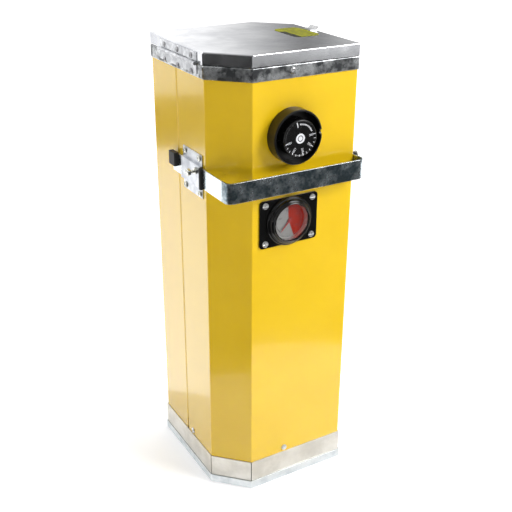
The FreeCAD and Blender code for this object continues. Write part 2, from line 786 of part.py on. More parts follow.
def make_needle():
    """Pointer on its own fine spindle, which turns in the dial."""
    face_y = front - plate_sheet
    pointer = [(-needle_tail, 0.75), (0, 1.0), (needle_length, 0.25),
               (needle_length, -0.25), (0, -1.0), (-needle_tail, -0.75)]
    blade = plate(pointer, 0, needle_sheet)
    hub = turned([(0, -0.6), (2.1, -0.6), (2.1, 0.6), (1.4, 1.1), (0, 1.1)], Vector(0, 0, 0), Z)
    pin = rod(Vector(0, 0, -5), Z, needle_bore - running_gap, 5.2)
    needle = blade.fuse(hub).fuse(pin)
    needle.rotate(Vector(0, 0, 0), Z, needle_angle)
    needle.rotate(Vector(0, 0, 0), X, 90)
    needle.translate(Vector(gauge_x, face_y - 0.9, gauge_z))
    return needle


# ---- handle --------------------------------------------------------------------------------
strap_outer = half + strap_gap + strap_sheet
bracket_rise = strap_gap + strap_sheet + slide_gap + bracket_sheet


def rear_stop_start(side):
    return bracket_front(side) + bracket_length + slide_travel + stop_gap


def arm_end(side):
    return rear_stop_start(side) + rear_stop_length + 0.8


def make_strap():
    """Flat strap bent into a U: a front run and an arm along each side."""
    nose = front - strap_reach
    outer = [(-strap_outer, arm_end(-1)), (-strap_outer, nose), (strap_outer, nose),
             (strap_outer, arm_end(1))]
    wall = strap_sheet
    inner = [(-strap_outer + wall, arm_end(-1)), (-strap_outer + wall, nose + wall),
             (strap_outer - wall, nose + wall), (strap_outer - wall, arm_end(1))]
    low = handle_z - strap_height / 2
    high = handle_z + strap_height / 2
    solid = plate(outer, low, high)
    hollow = plate([(inner[0][0], inner[0][1] + 80), inner[1], inner[2],
                    (inner[3][0], inner[3][1] + 80)], low - 1, high + 1)
    solid = solid.makeFillet(strap_bend, upright_edges(solid, nose))
    hollow = hollow.makeFillet(strap_bend - wall, upright_edges(hollow, nose + wall))
    strap = solid.cut(hollow)
    return strap.makeFillet(0.35, [e for e in edges_at(strap, low) + edges_at(strap, high)])


def upright_edges(shape, y):
    """Vertical edges at one place along Y."""
    found = []
    for edge in shape.Edges:
        box = edge.BoundBox
        if box.ZLength > 1 and box.YLength < 1e-6 and abs(box.YMin - y) < 1e-6:
            found.append(edge)
    return found


def make_stops(side):
    """Rubber pads on the strap that meet the front and the back of the bracket."""
    face = strap_outer
    y = bracket_front(side) - stop_gap - front_stop_width / 2
    pad = rod(Vector(0, 0, 0), Z, front_stop_width / 2, front_stop_height)
    pad = pad.makeFillet(1.2, edges_at(pad, 0) + edges_at(pad, front_stop_height))
    core = block(-front_stop_width / 2, 0, -front_stop_width / 2, front_stop_width / 2,
                 0, front_stop_height)
    nose = front_stop_depth - front_stop_width / 2
    pad.translate(Vector(nose, 0, 0))
    filler = block(0, nose, -front_stop_width / 2, front_stop_width / 2, 1.2, front_stop_height - 1.2)
    pad = pad.fuse(filler).cut(core)
    pad.translate(Vector(face, y, handle_z - front_stop_height / 2))
    start = rear_stop_start(side)
    z = handle_z + rear_stop_rise - rear_stop_height / 2
    rear = block(face, face + rear_stop_depth, start, start + rear_stop_length, z,
                 z + rear_stop_height)
    rear = rear.makeFillet(0.6, rear.Edges)
    if side < 0:
        return mirrored(pad), mirrored(rear)
    return pad, rear


def make_bracket(side):
    """Folded hat-section guide that the strap's arm slides through."""
    start = bracket_front(side)
    end = start + bracket_length
    crown = strap_height / 2 + slide_gap + bracket_sheet
    top = bracket_height / 2
    rise = bracket_rise
    sheet = bracket_sheet
    outer = [(0, -top), (sheet, -top), (sheet, -crown), (rise, -crown), (rise, crown),
             (sheet, crown), (sheet, top), (0, top), (0, crown - sheet),
             (rise - sheet, crown - sheet), (rise - sheet, sheet - crown), (0, sheet - crown)]
    ring_points = [Vector(half + x, start, handle_z + z) for x, z in outer]
    shape = Part.Face(Part.makePolygon(ring_points + ring_points[:1])).extrude(Vector(0, end - start, 0))
    bends = []
    for edge in shape.Edges:
        box = edge.BoundBox
        if box.YLength > 1 and abs(box.XMin - half - rise) < 1e-6:
            bends.append(edge)
    shape = shape.makeFillet(0.9, bends)
    for y, z in bracket_screw_spots(side):
        shape = drill(shape, Vector(half + sheet, y, z), X, screw_radius + screw_gap)
    y, z = clamp_spot(side)
    shape = shape.cut(rod(Vector(half + rise - sheet - 0.2, y, z), X, clamp_radius + running_gap,
                          sheet + 2))
    return mirrored(shape) if side < 0 else shape


def clamp_spot(side):
    return bracket_front(side) + clamp_inset, handle_z + clamp_rise


def make_clamp(side):
    """Hexagon bolt whose tip bears on the strap, and the nut fixed to the bracket."""
    y, z = clamp_spot(side)
    tip = strap_outer + 0.05
    seat = half + bracket_rise
    bolt = rod(Vector(tip, y, z), X, clamp_radius, seat + clamp_reach - tip - clamp_head_height)
    bolt = bolt.fuse(hexagon(Vector(seat + clamp_reach - clamp_head_height, y, z), X, clamp_head,
                             clamp_head_height))
    nut = hexagon(Vector(seat, y, z), X, clamp_nut, clamp_nut_height)
    nut = nut.cut(rod(Vector(seat - 1, y, z), X, clamp_radius + running_gap, clamp_nut_height + 2))
    if side < 0:
        return mirrored(bolt), mirrored(nut)
    return bolt, nut


# ---- lid -----------------------------------------------------------------------------------
def make_lid():
    shell = folded_cap(shell_outer, zinc_sheet, lid_low, lid_top, False)
    for slit in skirt_slits(lid_low - 1, lid_top - fold_radius - 0.4, (1, 4)):
        shell = shell.cut(slit)
    for y in hinge_rivet_ys:
        shell = drill(shell, Vector(-shell_outer, y, rivet_high), -X, rivet_radius + screw_gap)
    roof = lid_top - zinc_sheet
    base = roof - liner_depth
    brim = liner_brim
    liner = turned([(0, base), (liner_radius, base), (liner_radius, roof - liner_sheet),
                    (liner_radius + brim, roof - liner_sheet), (liner_radius + brim, roof),
                    (liner_radius - liner_sheet, roof), (liner_radius - liner_sheet, base + liner_sheet),
                    (0, base + liner_sheet)], Vector(0, 0, 0), Z)
    fill = rod(Vector(0, 0, base + liner_sheet), Z, liner_radius - liner_sheet - 0.2,
               liner_depth - liner_sheet)
    gasket = ring(Vector(0, 0, collar_top + 0.2), Z, gasket_inner, gasket_outer,
                  base - collar_top - 0.2)
    return shell, liner, fill, gasket


def make_label():
    wide = label_width / 2
    tall = label_length / 2
    corners = [(label_x - wide, label_y - tall), (label_x + wide, label_y - tall),
               (label_x + wide, label_y + tall), (label_x - wide, label_y + tall)]
    return prism(corners, label_corner, lid_top, lid_top + label_sheet)


def make_keeper():
    """Folded keeper welded to the lid's edge: a flat flange and a lip that slopes up."""
    edge = shell_outer + keeper_overhang
    slope = keeper_rise
    start = edge - slope - keeper_flange
    drop = keeper_sheet * math.sqrt(2)
    bottom = lid_top
    points = [(start, bottom), (edge - slope, bottom), (edge, bottom + slope),
              (edge - drop / 2, bottom + slope + drop / 2),
              (edge - slope - drop + keeper_sheet, bottom + keeper_sheet),
              (start, bottom + keeper_sheet)]
    spots = [Vector(x, latch_middle - keeper_width / 2, z) for x, z in points]
    return Part.Face(Part.makePolygon(spots + spots[:1])).extrude(Vector(0, keeper_width, 0))


def make_latch():
    """Wire bail that hangs from two lugs on the case and swings up over the keeper."""
    leg_y = keeper_width / 2 + bail_gap + bail_wire / 2
    reach = lid_top + bail_reach - bail_z
    pivot = Vector(bail_x, latch_middle, bail_z)
    inner_y = leg_y - bail_hold
    route = [Vector(0, -inner_y, 0), Vector(0, -leg_y, 0), Vector(0, -leg_y, bail_claw - reach),
             Vector(bail_claw, -leg_y, -reach), Vector(bail_claw, leg_y, -reach),
             Vector(0, leg_y, bail_claw - reach), Vector(0, leg_y, 0), Vector(0, inner_y, 0)]
    bail = piped(bent_path([pivot + spot for spot in route], bail_bend), bail_wire / 2)
    lug_outer = leg_y - bail_bend - seat_gap
    lug_reach = bail_stand + lug_radius
    tall = lug_height / 2
    sheet = lug_sheet
    points = [(0, -lug_outer), (lug_reach, -lug_outer), (lug_reach, sheet - lug_outer),
              (sheet, sheet - lug_outer), (sheet, lug_outer - sheet), (lug_reach, lug_outer - sheet),
              (lug_reach, lug_outer), (0, lug_outer)]
    corners = [(half + x, latch_middle + y) for x, y in points]
    bracket = plate(corners, bail_z - tall, bail_z + tall)
    cheek = rod(pivot - Y * keeper_width, Y, lug_radius, 2 * keeper_width)
    root = block(half, half + sheet, latch_middle - lug_outer, latch_middle + lug_outer,
                 bail_z - tall, bail_z + tall)
    neck = block(half, bail_x, latch_middle - lug_outer, latch_middle + lug_outer,
                 bail_z - lug_radius, bail_z + lug_radius)
    bracket = bracket.common(root.fuse(neck).fuse(cheek))
    bracket = bracket.cut(rod(pivot - Y * 30, Y, bail_wire / 2 + running_gap, 60))
    for y, z in latch_rivet_spots:
        bracket = drill(bracket, Vector(half + sheet, y, z), X, rivet_radius + screw_gap)
    rivets = [rivet(Vector(half + sheet, y, z), X, 4.6) for y, z in latch_rivet_spots]
    return bail, bracket, rivets


# ---- hinge ---------------------------------------------------------------------------------
knuckle_radius = hinge_pin_radius + running_gap + hinge_sheet
hinge_x = -shell_outer - knuckle_radius - hinge_stand
hinge_z = (collar_top + lid_low) / 2


def make_hinge():
    """Piano hinge: two leaves with interleaved knuckles and one pin."""
    start = hinge_middle - hinge_length / 2
    step = hinge_length / hinge_knuckles
    hole = hinge_pin_radius + running_gap
    leaves = []
    for first, sign in ((0, -1), (1, 1)):
        low = hinge_z + sign * (knuckle_radius + 0.2)
        far = hinge_z + sign * hinge_leaf
        leaf = block(-shell_outer - hinge_sheet, -shell_outer, start, start + hinge_length,
                     min(low, far), max(low, far))
        for i in range(first, hinge_knuckles, 2):
            y0 = start + i * step + knuckle_gap / 2
            length = step - knuckle_gap
            knuckle = rod(Vector(hinge_x, y0, hinge_z), Y, knuckle_radius, length)
            web = block(-shell_outer - hinge_sheet, -shell_outer, y0, y0 + length,
                        min(hinge_z, low), max(hinge_z, low))
            leaf = leaf.fuse(knuckle.fuse(web))
        leaf = leaf.cut(rod(Vector(hinge_x, start - 1, hinge_z), Y, hole, hinge_length + 2))
        for y in hinge_rivet_ys:
            z = rivet_low if sign < 0 else rivet_high
            leaf = drill(leaf, Vector(-shell_outer - hinge_sheet, y, z), -X, rivet_radius + screw_gap)
        leaves.append(leaf)
    pin = rod(Vector(hinge_x, start, hinge_z), Y, hinge_pin_radius, hinge_length)
    skin = -shell_outer - hinge_sheet
    low_rivets = [rivet(Vector(skin, y, rivet_low), -X, 5.0) for y in hinge_rivet_ys]
    high_rivets = [rivet(Vector(skin, y, rivet_high), -X, 3.6) for y in hinge_rivet_ys]
    return leaves[0], leaves[1], pin, low_rivets, high_rivets


# ---- power inlet and leads -------------------------------------------------------------------
def make_inlet():
    """Appliance inlet with three flat pins, for a lead that plugs in."""
    flange = block(inlet_x - inlet_flange_width / 2, inlet_x + inlet_flange_width / 2,
                   half, half + inlet_flange,
                   inlet_z - inlet_flange_height / 2, inlet_z + inlet_flange_height / 2)
    corners = [e for e in flange.Edges if e.BoundBox.YLength > 1]
    flange = flange.makeFillet(4.0, corners)
    wide = inlet_width / 2
    tall = inlet_height / 2
    body = block(inlet_x - wide, inlet_x + wide, half - inlet_inside, half + inlet_flange,
                 inlet_z - tall, inlet_z + tall).fuse(flange)
    mouth = block(inlet_x - wide + inlet_wall, inlet_x + wide - inlet_wall,
                  half - inlet_inside + inlet_wall * 2, half + 9,
                  inlet_z - tall + inlet_wall, inlet_z + tall - inlet_wall)
    uprights = [e for e in mouth.Edges if e.BoundBox.YLength > 1 and e.BoundBox.ZMin > inlet_z]
    body = body.cut(mouth.makeChamfer(4.0, uprights))
    pins = []
    for i in (-1, 0, 1):
        x = inlet_x + i * pin_pitch
        z = inlet_z + (earth_rise if i == 0 else 0) - pin_offset
        pins.append(block(x - pin_width / 2, x + pin_width / 2,
                          half - inlet_inside - pin_tail,
                          half - inlet_inside + inlet_wall * 2 + pin_length,
                          z - pin_height / 2, z + pin_height / 2))
    for pin in pins:
        body = body.cut(pin)
    screws = []
    for x, z in inlet_screw_spots:
        body = drill(body, Vector(x, half + inlet_flange, z), Y, screw_radius + screw_gap, 12)
        screws.append(pan_screw(Vector(x, half + inlet_flange, z), Y))
    return body, pins, screws


def make_leads():
    """Leads from the inlet to the heater and the thermostat, and between those two."""
    tail_y = half - inlet_inside - pin_tail
    pin_z = inlet_z - pin_offset
    near_x = inlet_x + pin_pitch
    far_x = inlet_x - pin_pitch
    first = leg_spot(0, element_low - terminal_length)
    last = leg_spot(element_legs - 1, element_low - terminal_length)
    to_heater = [Vector(near_x, tail_y, pin_z), Vector(near_x, tail_y - 6, pin_z),
                 Vector(near_x, tail_y - 6, lead_level)]
    begin = math.acos(near_x / element_orbit)
    end = leg_angle(0)
    steps = 6
    for i in range(steps + 1):
        turn = begin + (end - begin) * i / steps
        to_heater.append(Vector(element_orbit * math.cos(turn), element_orbit * math.sin(turn),
                                lead_level))
    to_heater.append(first)
    to_stat = [Vector(far_x, tail_y, pin_z), Vector(far_x, tail_y - 5, pin_z),
               Vector(far_x, tail_y - 5, inlet_low), Vector(far_x, air_x, inlet_low),
               Vector(-air_x, air_x, inlet_low),
               Vector(-air_x, lead_climb + lead_pitch, inlet_low)]
    high = stat_z + lead_pitch * 0.7
    to_stat += [Vector(-air_x, lead_climb + lead_pitch, high)] + stat_approach(high)
    low = stat_z - lead_pitch * 0.7
    back = [Vector(-air_x, lead_climb, low), Vector(-air_x, lead_climb, lead_level),
            Vector(-air_x, last.y, lead_level), Vector(last.x, last.y, lead_level), last]
    from_stat = list(reversed(stat_approach(low))) + back
    return [piped(bent_path(route, lead_bend), lead_radius)
            for route in (to_heater, to_stat, from_stat)]


def stat_approach(z):
    """Round the cut corner inside the case and onto the thermostat's terminal block."""
    cut = leg_for(air_x) - air_x
    face_x = -stat_body_radius - terminal_block
    y = front + case_sheet + terminal_depth / 2
    return [Vector(-air_x, cut, z), Vector(cut, -air_x, z), Vector(face_x - 6, y, z),
            Vector(face_x, y, z)]


def make_everything():
    tray, pan, frame, board = make_base()
    skin, plain = make_case()
    for spot, axis in base_screw_spots:
        frame = drill(frame, spot, axis, screw_radius + screw_gap)
    save("base_tray", tray)
    save("base_pan", pan)
    save("base_frame", frame)
    save("base_board", board)
    save("front_casing", skin)
    save("rear_casing", plain)
    save("top_collar", make_collar())
    save("base_screws", [pan_screw(spot, axis) for spot, axis in base_screw_spots])
    save("collar_screws", [pan_screw(spot, axis) for spot, axis in collar_screw_spots])
    tube, floor = make_chamber()
    save("chamber_tube", tube)
    save("chamber_floor", floor)
    save("heating_element", make_element())
    save("element_clips", make_clips())
    save("insulation_blanket", make_blanket())
    guard, body, screws = make_thermostat()
    save("thermostat_guard", guard)
    save("thermostat_body", body)
    save("thermostat_screws", screws)
    save("thermostat_knob", make_knob())
    save("thermostat_spindle", spindle_shape(0, knob_front - knob_wall - 0.2))
    bulb, capillary = make_sensor()
    save("sensing_bulb", bulb)
    save("capillary_tube", capillary)
    names = ("gauge_plate", "gauge_screws", "gauge_bezel", "gauge_case", "gauge_dial",
             "gauge_ring", "gauge_glass", "gauge_stem")
    for name, shape in zip(names, make_gauge()):
        save(name, shape)
    save("gauge_needle", make_needle())
    save("handle_strap", make_strap())
    stops = [make_stops(side) for side in (-1, 1)]
    save("front_stops", [pair[0] for pair in stops])
    save("rear_stops", [pair[1] for pair in stops])
    clamps = []
    for side, word in ((-1, "left"), (1, "right")):
        save("guide_bracket_" + word, make_bracket(side))
        bolt, nut = make_clamp(side)
        save("clamp_bolt_" + word, bolt)
        clamps.append(nut)
    save("clamp_nuts", clamps)
    fixings = []
    for side in (-1, 1):
        for y, z in bracket_screw_spots(side):
            fixings.append(pan_screw(Vector(side * (half + bracket_sheet), y, z), X * side))
    save("bracket_screws", fixings)
    for name, shape in zip(("lid_shell", "lid_liner", "lid_insulation", "lid_gasket"), make_lid()):
        save(name, shape)
    save("lid_label", make_label())
    save("latch_keeper", make_keeper())
    for name, shape in zip(("latch_bail", "latch_bracket", "latch_rivets"), make_latch()):
        save(name, shape)
    names = ("hinge_body_leaf", "hinge_lid_leaf", "hinge_pin", "hinge_body_rivets",
             "hinge_lid_rivets")
    for name, shape in zip(names, make_hinge()):
        save(name, shape)
    for name, shape in zip(("power_inlet", "inlet_pins", "inlet_screws"), make_inlet()):
        save(name, shape)
    save("wiring", make_leads())


os.makedirs("parts", exist_ok=True)
make_everything()
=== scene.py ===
import math

import bmesh
import bpy
import numpy as np
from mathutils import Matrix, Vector


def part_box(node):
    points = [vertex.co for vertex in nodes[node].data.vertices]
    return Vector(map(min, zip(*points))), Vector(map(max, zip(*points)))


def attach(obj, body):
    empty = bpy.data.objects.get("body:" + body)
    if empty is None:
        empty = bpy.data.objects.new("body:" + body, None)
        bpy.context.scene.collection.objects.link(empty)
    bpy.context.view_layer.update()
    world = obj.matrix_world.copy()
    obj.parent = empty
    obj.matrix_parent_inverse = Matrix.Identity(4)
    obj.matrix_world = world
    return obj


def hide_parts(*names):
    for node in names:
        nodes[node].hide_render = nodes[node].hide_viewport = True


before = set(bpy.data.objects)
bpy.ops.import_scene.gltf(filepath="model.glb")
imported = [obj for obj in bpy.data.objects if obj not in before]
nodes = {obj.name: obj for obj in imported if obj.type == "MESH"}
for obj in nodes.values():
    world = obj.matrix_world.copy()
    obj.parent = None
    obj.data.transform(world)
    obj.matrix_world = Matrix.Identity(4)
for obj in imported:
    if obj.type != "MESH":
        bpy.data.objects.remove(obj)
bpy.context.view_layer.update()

# Looks of a portable oven for welding electrodes: yellow powder coat on the case, galvanised
# base, collar, lid and strap handle, black knob and thermometer.  Metres, +Z up, front on -Y.

mm = 0.001


class Link:
    # one output of a node, so that an expression on it adds its Math nodes
    def __init__(self, paint, socket):
        self.paint = paint
        self.socket = socket

    def maths(self, operation, *values):
        return self.paint.node("ShaderNodeMath", {"operation": operation},
                               dict(enumerate(values)))

    def __add__(self, other):
        return self.maths("ADD", self, other)

    def __radd__(self, other):
        return self.maths("ADD", other, self)

    def __sub__(self, other):
        return self.maths("SUBTRACT", self, other)

    def __rsub__(self, other):
        return self.maths("SUBTRACT", other, self)

    def __mul__(self, other):
        return self.maths("MULTIPLY", self, other)

    def __rmul__(self, other):
        return self.maths("MULTIPLY", other, self)

    def __truediv__(self, other):
        return self.maths("DIVIDE", self, other)

    def __pow__(self, other):
        return self.maths("POWER", self, other)

    def size(self):
        return self.maths("ABSOLUTE", self)

    def over(self, edge):
        return self.maths("GREATER_THAN", self, edge)

    def under(self, edge):
        return self.maths("LESS_THAN", self, edge)

    def least(self, other):
        return self.maths("MINIMUM", self, other)

    def most(self, other):
        return self.maths("MAXIMUM", self, other)

    def wrapped(self, step):
        return self.maths("WRAP", self, step / 2, -step / 2)

    def rise(self, low, high):
        # 0 below low, 1 above high, and a smooth rise between
        made = self.paint.node("ShaderNodeMapRange", {"interpolation_type": "SMOOTHSTEP"},
                               {"Value": self, "From Min": low, "From Max": high})
        return made


class Paint:
    # one material, built from node() calls and expressions on their links
    def __init__(self, name):
        self.material = bpy.data.materials.new(name)
        self.material.use_nodes = True
        self.tree = self.material.node_tree
        self.tree.nodes.clear()
        self.place = self.node("ShaderNodeTexCoord", {}, {}, "Object")
        self.x, self.y, self.z = [self.node("ShaderNodeSeparateXYZ", {}, {0: self.place}, axis)
                                  for axis in "XYZ"]

    def node(self, kind, settings, sockets, output=0):
        made = self.tree.nodes.new(kind)
        for key, value in settings.items():
            if key == "stops":
                for _ in range(len(value) - 2):
                    made.color_ramp.elements.new(0.5)
                for element, (spot, colour) in zip(made.color_ramp.elements, value):
                    element.position = spot
                    element.color = (*colour, 1.0)
            else:
                setattr(made, key, value)
        for key, value in sockets.items():
            if isinstance(value, Link):
                self.tree.links.new(value.socket, made.inputs[key])
            else:
                made.inputs[key].default_value = value
        return Link(self, made.outputs[output])

    def stretched(self, scale):
        # object coordinates with each axis multiplied
        return self.node("ShaderNodeVectorMath", {"operation": "MULTIPLY"},
                         {0: self.place, 1: scale})

    def noise(self, size, detail=3.0, rough=0.5, stretch=(1.0, 1.0, 1.0), seed=0.0):
        # cloudy pattern, 0 to 1, whose patches are about size across; stretch makes them longer
        scale = tuple(1.0 / (size * part) for part in stretch)
        moved = self.node("ShaderNodeVectorMath", {"operation": "ADD"},
                          {0: self.stretched(scale), 1: (seed, seed * 1.7, seed * 0.6)})
        return self.node("ShaderNodeTexNoise", {"noise_dimensions": "3D"},
                         {"Vector": moved, "Scale": 1.0, "Detail": detail, "Roughness": rough})

    def crystals(self, size):
        # flat cells about size across, each with its own random value
        cell = self.node("ShaderNodeTexVoronoi", {"feature": "F1"},
                         {"Vector": self.place, "Scale": 1.0 / size, "Randomness": 1.0}, "Color")
        return self.node("ShaderNodeSeparateColor", {}, {0: cell})

    def tint(self, share, first, second):
        # colour between two colours
        first = (*first, 1.0) if isinstance(first, tuple) else first
        second = (*second, 1.0) if isinstance(second, tuple) else second
        return self.node("ShaderNodeMix", {"data_type": "RGBA", "clamp_factor": True},
                         {0: share, 6: first, 7: second}, 2)

    def ramp(self, value, *stops):
        return self.node("ShaderNodeValToRGB", {"stops": stops}, {0: value})

    def nearEdge(self, corners, reach):
        # 1 on the straight edges of the piece's box, 0 from reach inwards: a surface point lies
        # on one face, so its distance to an edge is the middle one of its three face distances
        low, high = corners
        gaps = []
        for axis, value in enumerate((self.x, self.y, self.z)):
            gaps.append((value - low[axis]).least(high[axis] - value))
        a, b, c = gaps
        middle = a.least(b).most(a.most(b).least(c))
        return 1.0 - middle.rise(0.0, reach)

    def polar(self, centre):
        # distance from a centre on the front face, and the angle seen from the front in degrees
        across = self.x - centre.x
        up = self.z - centre.z
        away = (across * across + up * up) ** 0.5
        angle = across.maths("ARCTAN2", up, across) * (180.0 / math.pi)
        return away, angle

    def bump(self, height, depth, below=None):
        # a height of 0 to 1 makes that much relief
        sockets = {"Height": height, "Distance": depth, "Strength": 1.0}
        if below is not None:
            sockets["Normal"] = below
        return self.node("ShaderNodeBump", {}, sockets)

    def finish(self, **sockets):
        # the shader itself; names are its sockets', with _ for a space
        named = {key.replace("_", " "): value for key, value in sockets.items()}
        for key in ("Base Color", "Coat Tint", "Sheen Tint"):
            if isinstance(named.get(key), tuple) and len(named[key]) == 3:
                named[key] = (*named[key], 1.0)
        shader = self.node("ShaderNodeBsdfPrincipled", {}, named)
        output = self.tree.nodes.new("ShaderNodeOutputMaterial")
        self.tree.links.new(shader.socket, output.inputs["Surface"])
        return self.material


def dress(material, *names):
    # gives CAD nodes a material
    for name in names:
        piece = nodes[name]
        if not piece.material_slots:
            piece.data.materials.append(material)
        for holder in piece.material_slots:
            holder.material = material


powder = {
    "light": (0.91, 0.60, 0.010),
    "deep": (0.84, 0.53, 0.006),
    "worn": (0.95, 0.72, 0.16),
    "peelSize": 1.9 * mm,
    "peelDepth": 0.085 * mm,
    "grainSize": 0.35 * mm,
    "rough": 0.18,
    "edge": 1.6 * mm,
    "scuffs": 0.35,
    # painted shade colour for the lap beside the other half's edge
    "seam": (0.10, 0.055, 0.004),
    # painted shade colour below the top of the base pan
    "hemShadeColour": (0.03, 0.022, 0.010),
    "seamReach": 2.6 * mm,
    "seamShade": 0.97,
    "seamSide": 30 * mm,        # the lap lies at least this far from the middle
}


def powderCoat(name, corners, lap, hiddenBelow):
    # sprayed and baked coat: soft waves like the skin of an orange, thin and paler on the edges
    paint = Paint(name)
    cloud = paint.noise(70 * mm, 3.0)
    speck = paint.noise(powder["grainSize"], 2.0)
    colour = paint.tint((cloud * 1.3 + speck * 0.35 - 0.35), powder["deep"], powder["light"])
    edge = paint.nearEdge(corners, powder["edge"])
    thin = (edge * (0.35 + paint.noise(6 * mm, 2.0) * 0.7)).rise(0.45, 1.0)
    colour = paint.tint(thin * 0.55, colour, powder["worn"])
    # painted shade: below the top of the base pan the casing is coloured near-black, where it goes
    # down behind the pan
    colour = paint.tint((paint.z - hiddenBelow).rise(-0.4 * mm, 0.0), powder["hemShadeColour"], colour)
    # painted shade in the lap beside the other half's edge: a dark band stands in for the shadow
    # there
    side, edgeY, way = lap
    gap = ((paint.y - edgeY) * way).rise(-0.1 * mm, powder["seamReach"])
    gap = (1.0 - gap) * (paint.x * side).over(powder["seamSide"])
    colour = paint.tint(gap * powder["seamShade"], colour, powder["seam"])
    smear = paint.noise(14 * mm, 4.0, 0.6, (1.0, 1.0, 3.5), 3.0).rise(0.60, 0.74)
    scrape = paint.noise(0.9 * mm, 2.0, 0.5, (1.0, 1.0, 22.0), 9.0).rise(0.76, 0.84)
    rough = powder["rough"] + cloud * 0.05 + smear * 0.04 + scrape * powder["scuffs"] * 0.2
    peel = paint.noise(powder["peelSize"], 1.2, 0.4)
    skin = paint.bump(peel, powder["peelDepth"])
    dust = paint.bump(speck, 0.004 * mm, skin)
    return paint.finish(Base_Color=colour, Roughness=rough, Normal=dust, IOR=1.5,
                        Coat_Weight=0.6, Coat_Roughness=0.07, Coat_IOR=1.5)


zincs = {
    "zincLid": {
        "light": (0.76, 0.77, 0.79), "dark": (0.52, 0.53, 0.56), "bright": (0.88, 0.89, 0.90),
        "cloud": 55 * mm, "spread": (0.30, 0.72), "flake": 9 * mm, "flakes": 0.03,
        "brush": (1.0, 26.0, 26.0), "brushed": 0.24, "rough": 0.13, "edge": 1.6 * mm,
        "wave": 60 * mm, "waveDepth": 0.12 * mm,
    },
    "zincCollar": {
        "light": (0.66, 0.68, 0.69), "dark": (0.10, 0.105, 0.11), "bright": (0.78, 0.79, 0.80),
        "cloud": 17 * mm, "spread": (0.40, 0.66), "flake": 4 * mm, "flakes": 0.16,
        "brush": (6.0, 6.0, 1.0), "brushed": 0.10, "rough": 0.27, "edge": 1.2 * mm,
        "wave": 30 * mm, "waveDepth": 0.10 * mm,
    },
    "zincPan": {
        "light": (0.74, 0.72, 0.67), "dark": (0.60, 0.58, 0.53), "bright": (0.82, 0.81, 0.78),
        "cloud": 26 * mm, "spread": (0.30, 0.70), "flake": 6 * mm, "flakes": 0.05,
        "brush": (5.0, 5.0, 1.0), "brushed": 0.05, "rough": 0.42, "edge": 1.2 * mm,
        "wave": 60 * mm, "waveDepth": 0.15 * mm,
        # painted shade: below the first height the pan takes the dark colour after it, where it
        # goes down behind the tray
        "gapBelow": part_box("base_tray")[1].z - 0.2 * mm, "gap": (0.05, 0.05, 0.045),
    },
    "zincTray": {
        "light": (0.76, 0.79, 0.80), "dark": (0.58, 0.62, 0.64), "bright": (0.84, 0.86, 0.87),
        "cloud": 16 * mm, "spread": (0.25, 0.65), "flake": 7 * mm, "flakes": 0.05,
        "brush": (4.0, 4.0, 1.0), "brushed": 0.05, "rough": 0.34, "edge": 1.0 * mm,
        "wave": 40 * mm, "waveDepth": 0.12 * mm,
    },
    "zincStrap": {
        "light": (0.72, 0.80, 0.84), "dark": (0.10, 0.135, 0.155), "bright": (0.62, 0.64, 0.66),
        "cloud": 15 * mm, "spread": (0.38, 0.74), "flake": 2 * mm, "flakes": 0.08,
        "brush": (1.0, 1.0, 8.0), "brushed": 0.08, "rough": 0.24, "edge": 0.8 * mm,
        # the last value is where painted reflection starts: behind it the strap is coloured pale,
        # for the bright floor its sides mirror
        "wave": 40 * mm, "waveDepth": 0.05 * mm, "paintedLightFrom": -0.092,
    },
    "zincBracket": {
        "light": (0.66, 0.68, 0.71), "dark": (0.44, 0.46, 0.50), "bright": (0.84, 0.85, 0.86),
        "cloud": 14 * mm, "spread": (0.30, 0.70), "flake": 5 * mm, "flakes": 0.06,
        "brush": (1.0, 10.0, 1.0), "brushed": 0.08, "rough": 0.30, "edge": 0.9 * mm,
        "wave": 20 * mm, "waveDepth": 0.05 * mm,
    },
    "zincHinge": {
        "light": (0.74, 0.75, 0.77), "dark": (0.40, 0.41, 0.43), "bright": (0.82, 0.83, 0.84),
        "cloud": 9 * mm, "spread": (0.30, 0.70), "flake": 4 * mm, "flakes": 0.08,
        "brush": (1.0, 12.0, 1.0), "brushed": 0.10, "rough": 0.28, "edge": 0.6 * mm,
        "wave": 20 * mm, "waveDepth": 0.04 * mm,
    },
}


def zincSheet(name, corners, extra=None, side=""):
    # galvanised sheet: clouds of bright and dull zinc, flat crystals, rolling marks, rubbed edges
    look = zincs[name]
    paint = Paint(name + side)
    low, high = look["spread"]
    cloud = paint.noise(look["cloud"], 4.5, 0.58).rise(low, high)
    # painted reflection: behind that y the zinc is kept pale, standing in for the bright floor the
    # strap's sides mirror
    if "paintedLightFrom" in look:
        cloud = cloud.most((paint.y - look["paintedLightFrom"]).rise(0.0, 6 * mm) * 0.9)
    flake = paint.crystals(look["flake"])
    brush = paint.noise(0.5 * mm, 3.0, 0.6, look["brush"], 2.0)
    share = cloud + (flake - 0.5) * look["flakes"] * 2.0 + (brush - 0.5) * look["brushed"] * 2.0
    colour = paint.tint(share, look["dark"], look["light"])
    edge = paint.nearEdge(corners, look["edge"])
    rubbed = (edge * (0.75 + paint.noise(9 * mm, 2.0) * 0.4)).rise(0.30, 0.95)
    colour = paint.tint(rubbed * 0.7, colour, look["bright"])
    scratch = paint.noise(0.35 * mm, 1.0, 0.5, (1.0, 26.0, 14.0), 6.0).rise(0.73, 0.80)
    colour = paint.tint(scratch * 0.35, colour, look["bright"])
    if "gapBelow" in look:
        # painted shade: darker where the piece goes down behind another one
        colour = paint.tint((paint.z - look["gapBelow"]).rise(0.0, 0.7 * mm), look["gap"], colour)
    rough = look["rough"] + (1.0 - cloud) * 0.10 + (flake - 0.5) * 0.05 + (brush - 0.5) * 0.08
    relief = paint.bump(paint.noise(look["wave"], 1.0), look["waveDepth"])
    if extra is not None:
        relief = extra(paint, relief)
    relief = paint.bump(brush, 0.004 * mm, relief)
    relief = paint.bump(flake, 0.0006 * mm, relief)
    return paint.finish(Base_Color=colour, Roughness=rough - rubbed * 0.06, Metallic=1.0,
                        Normal=relief)


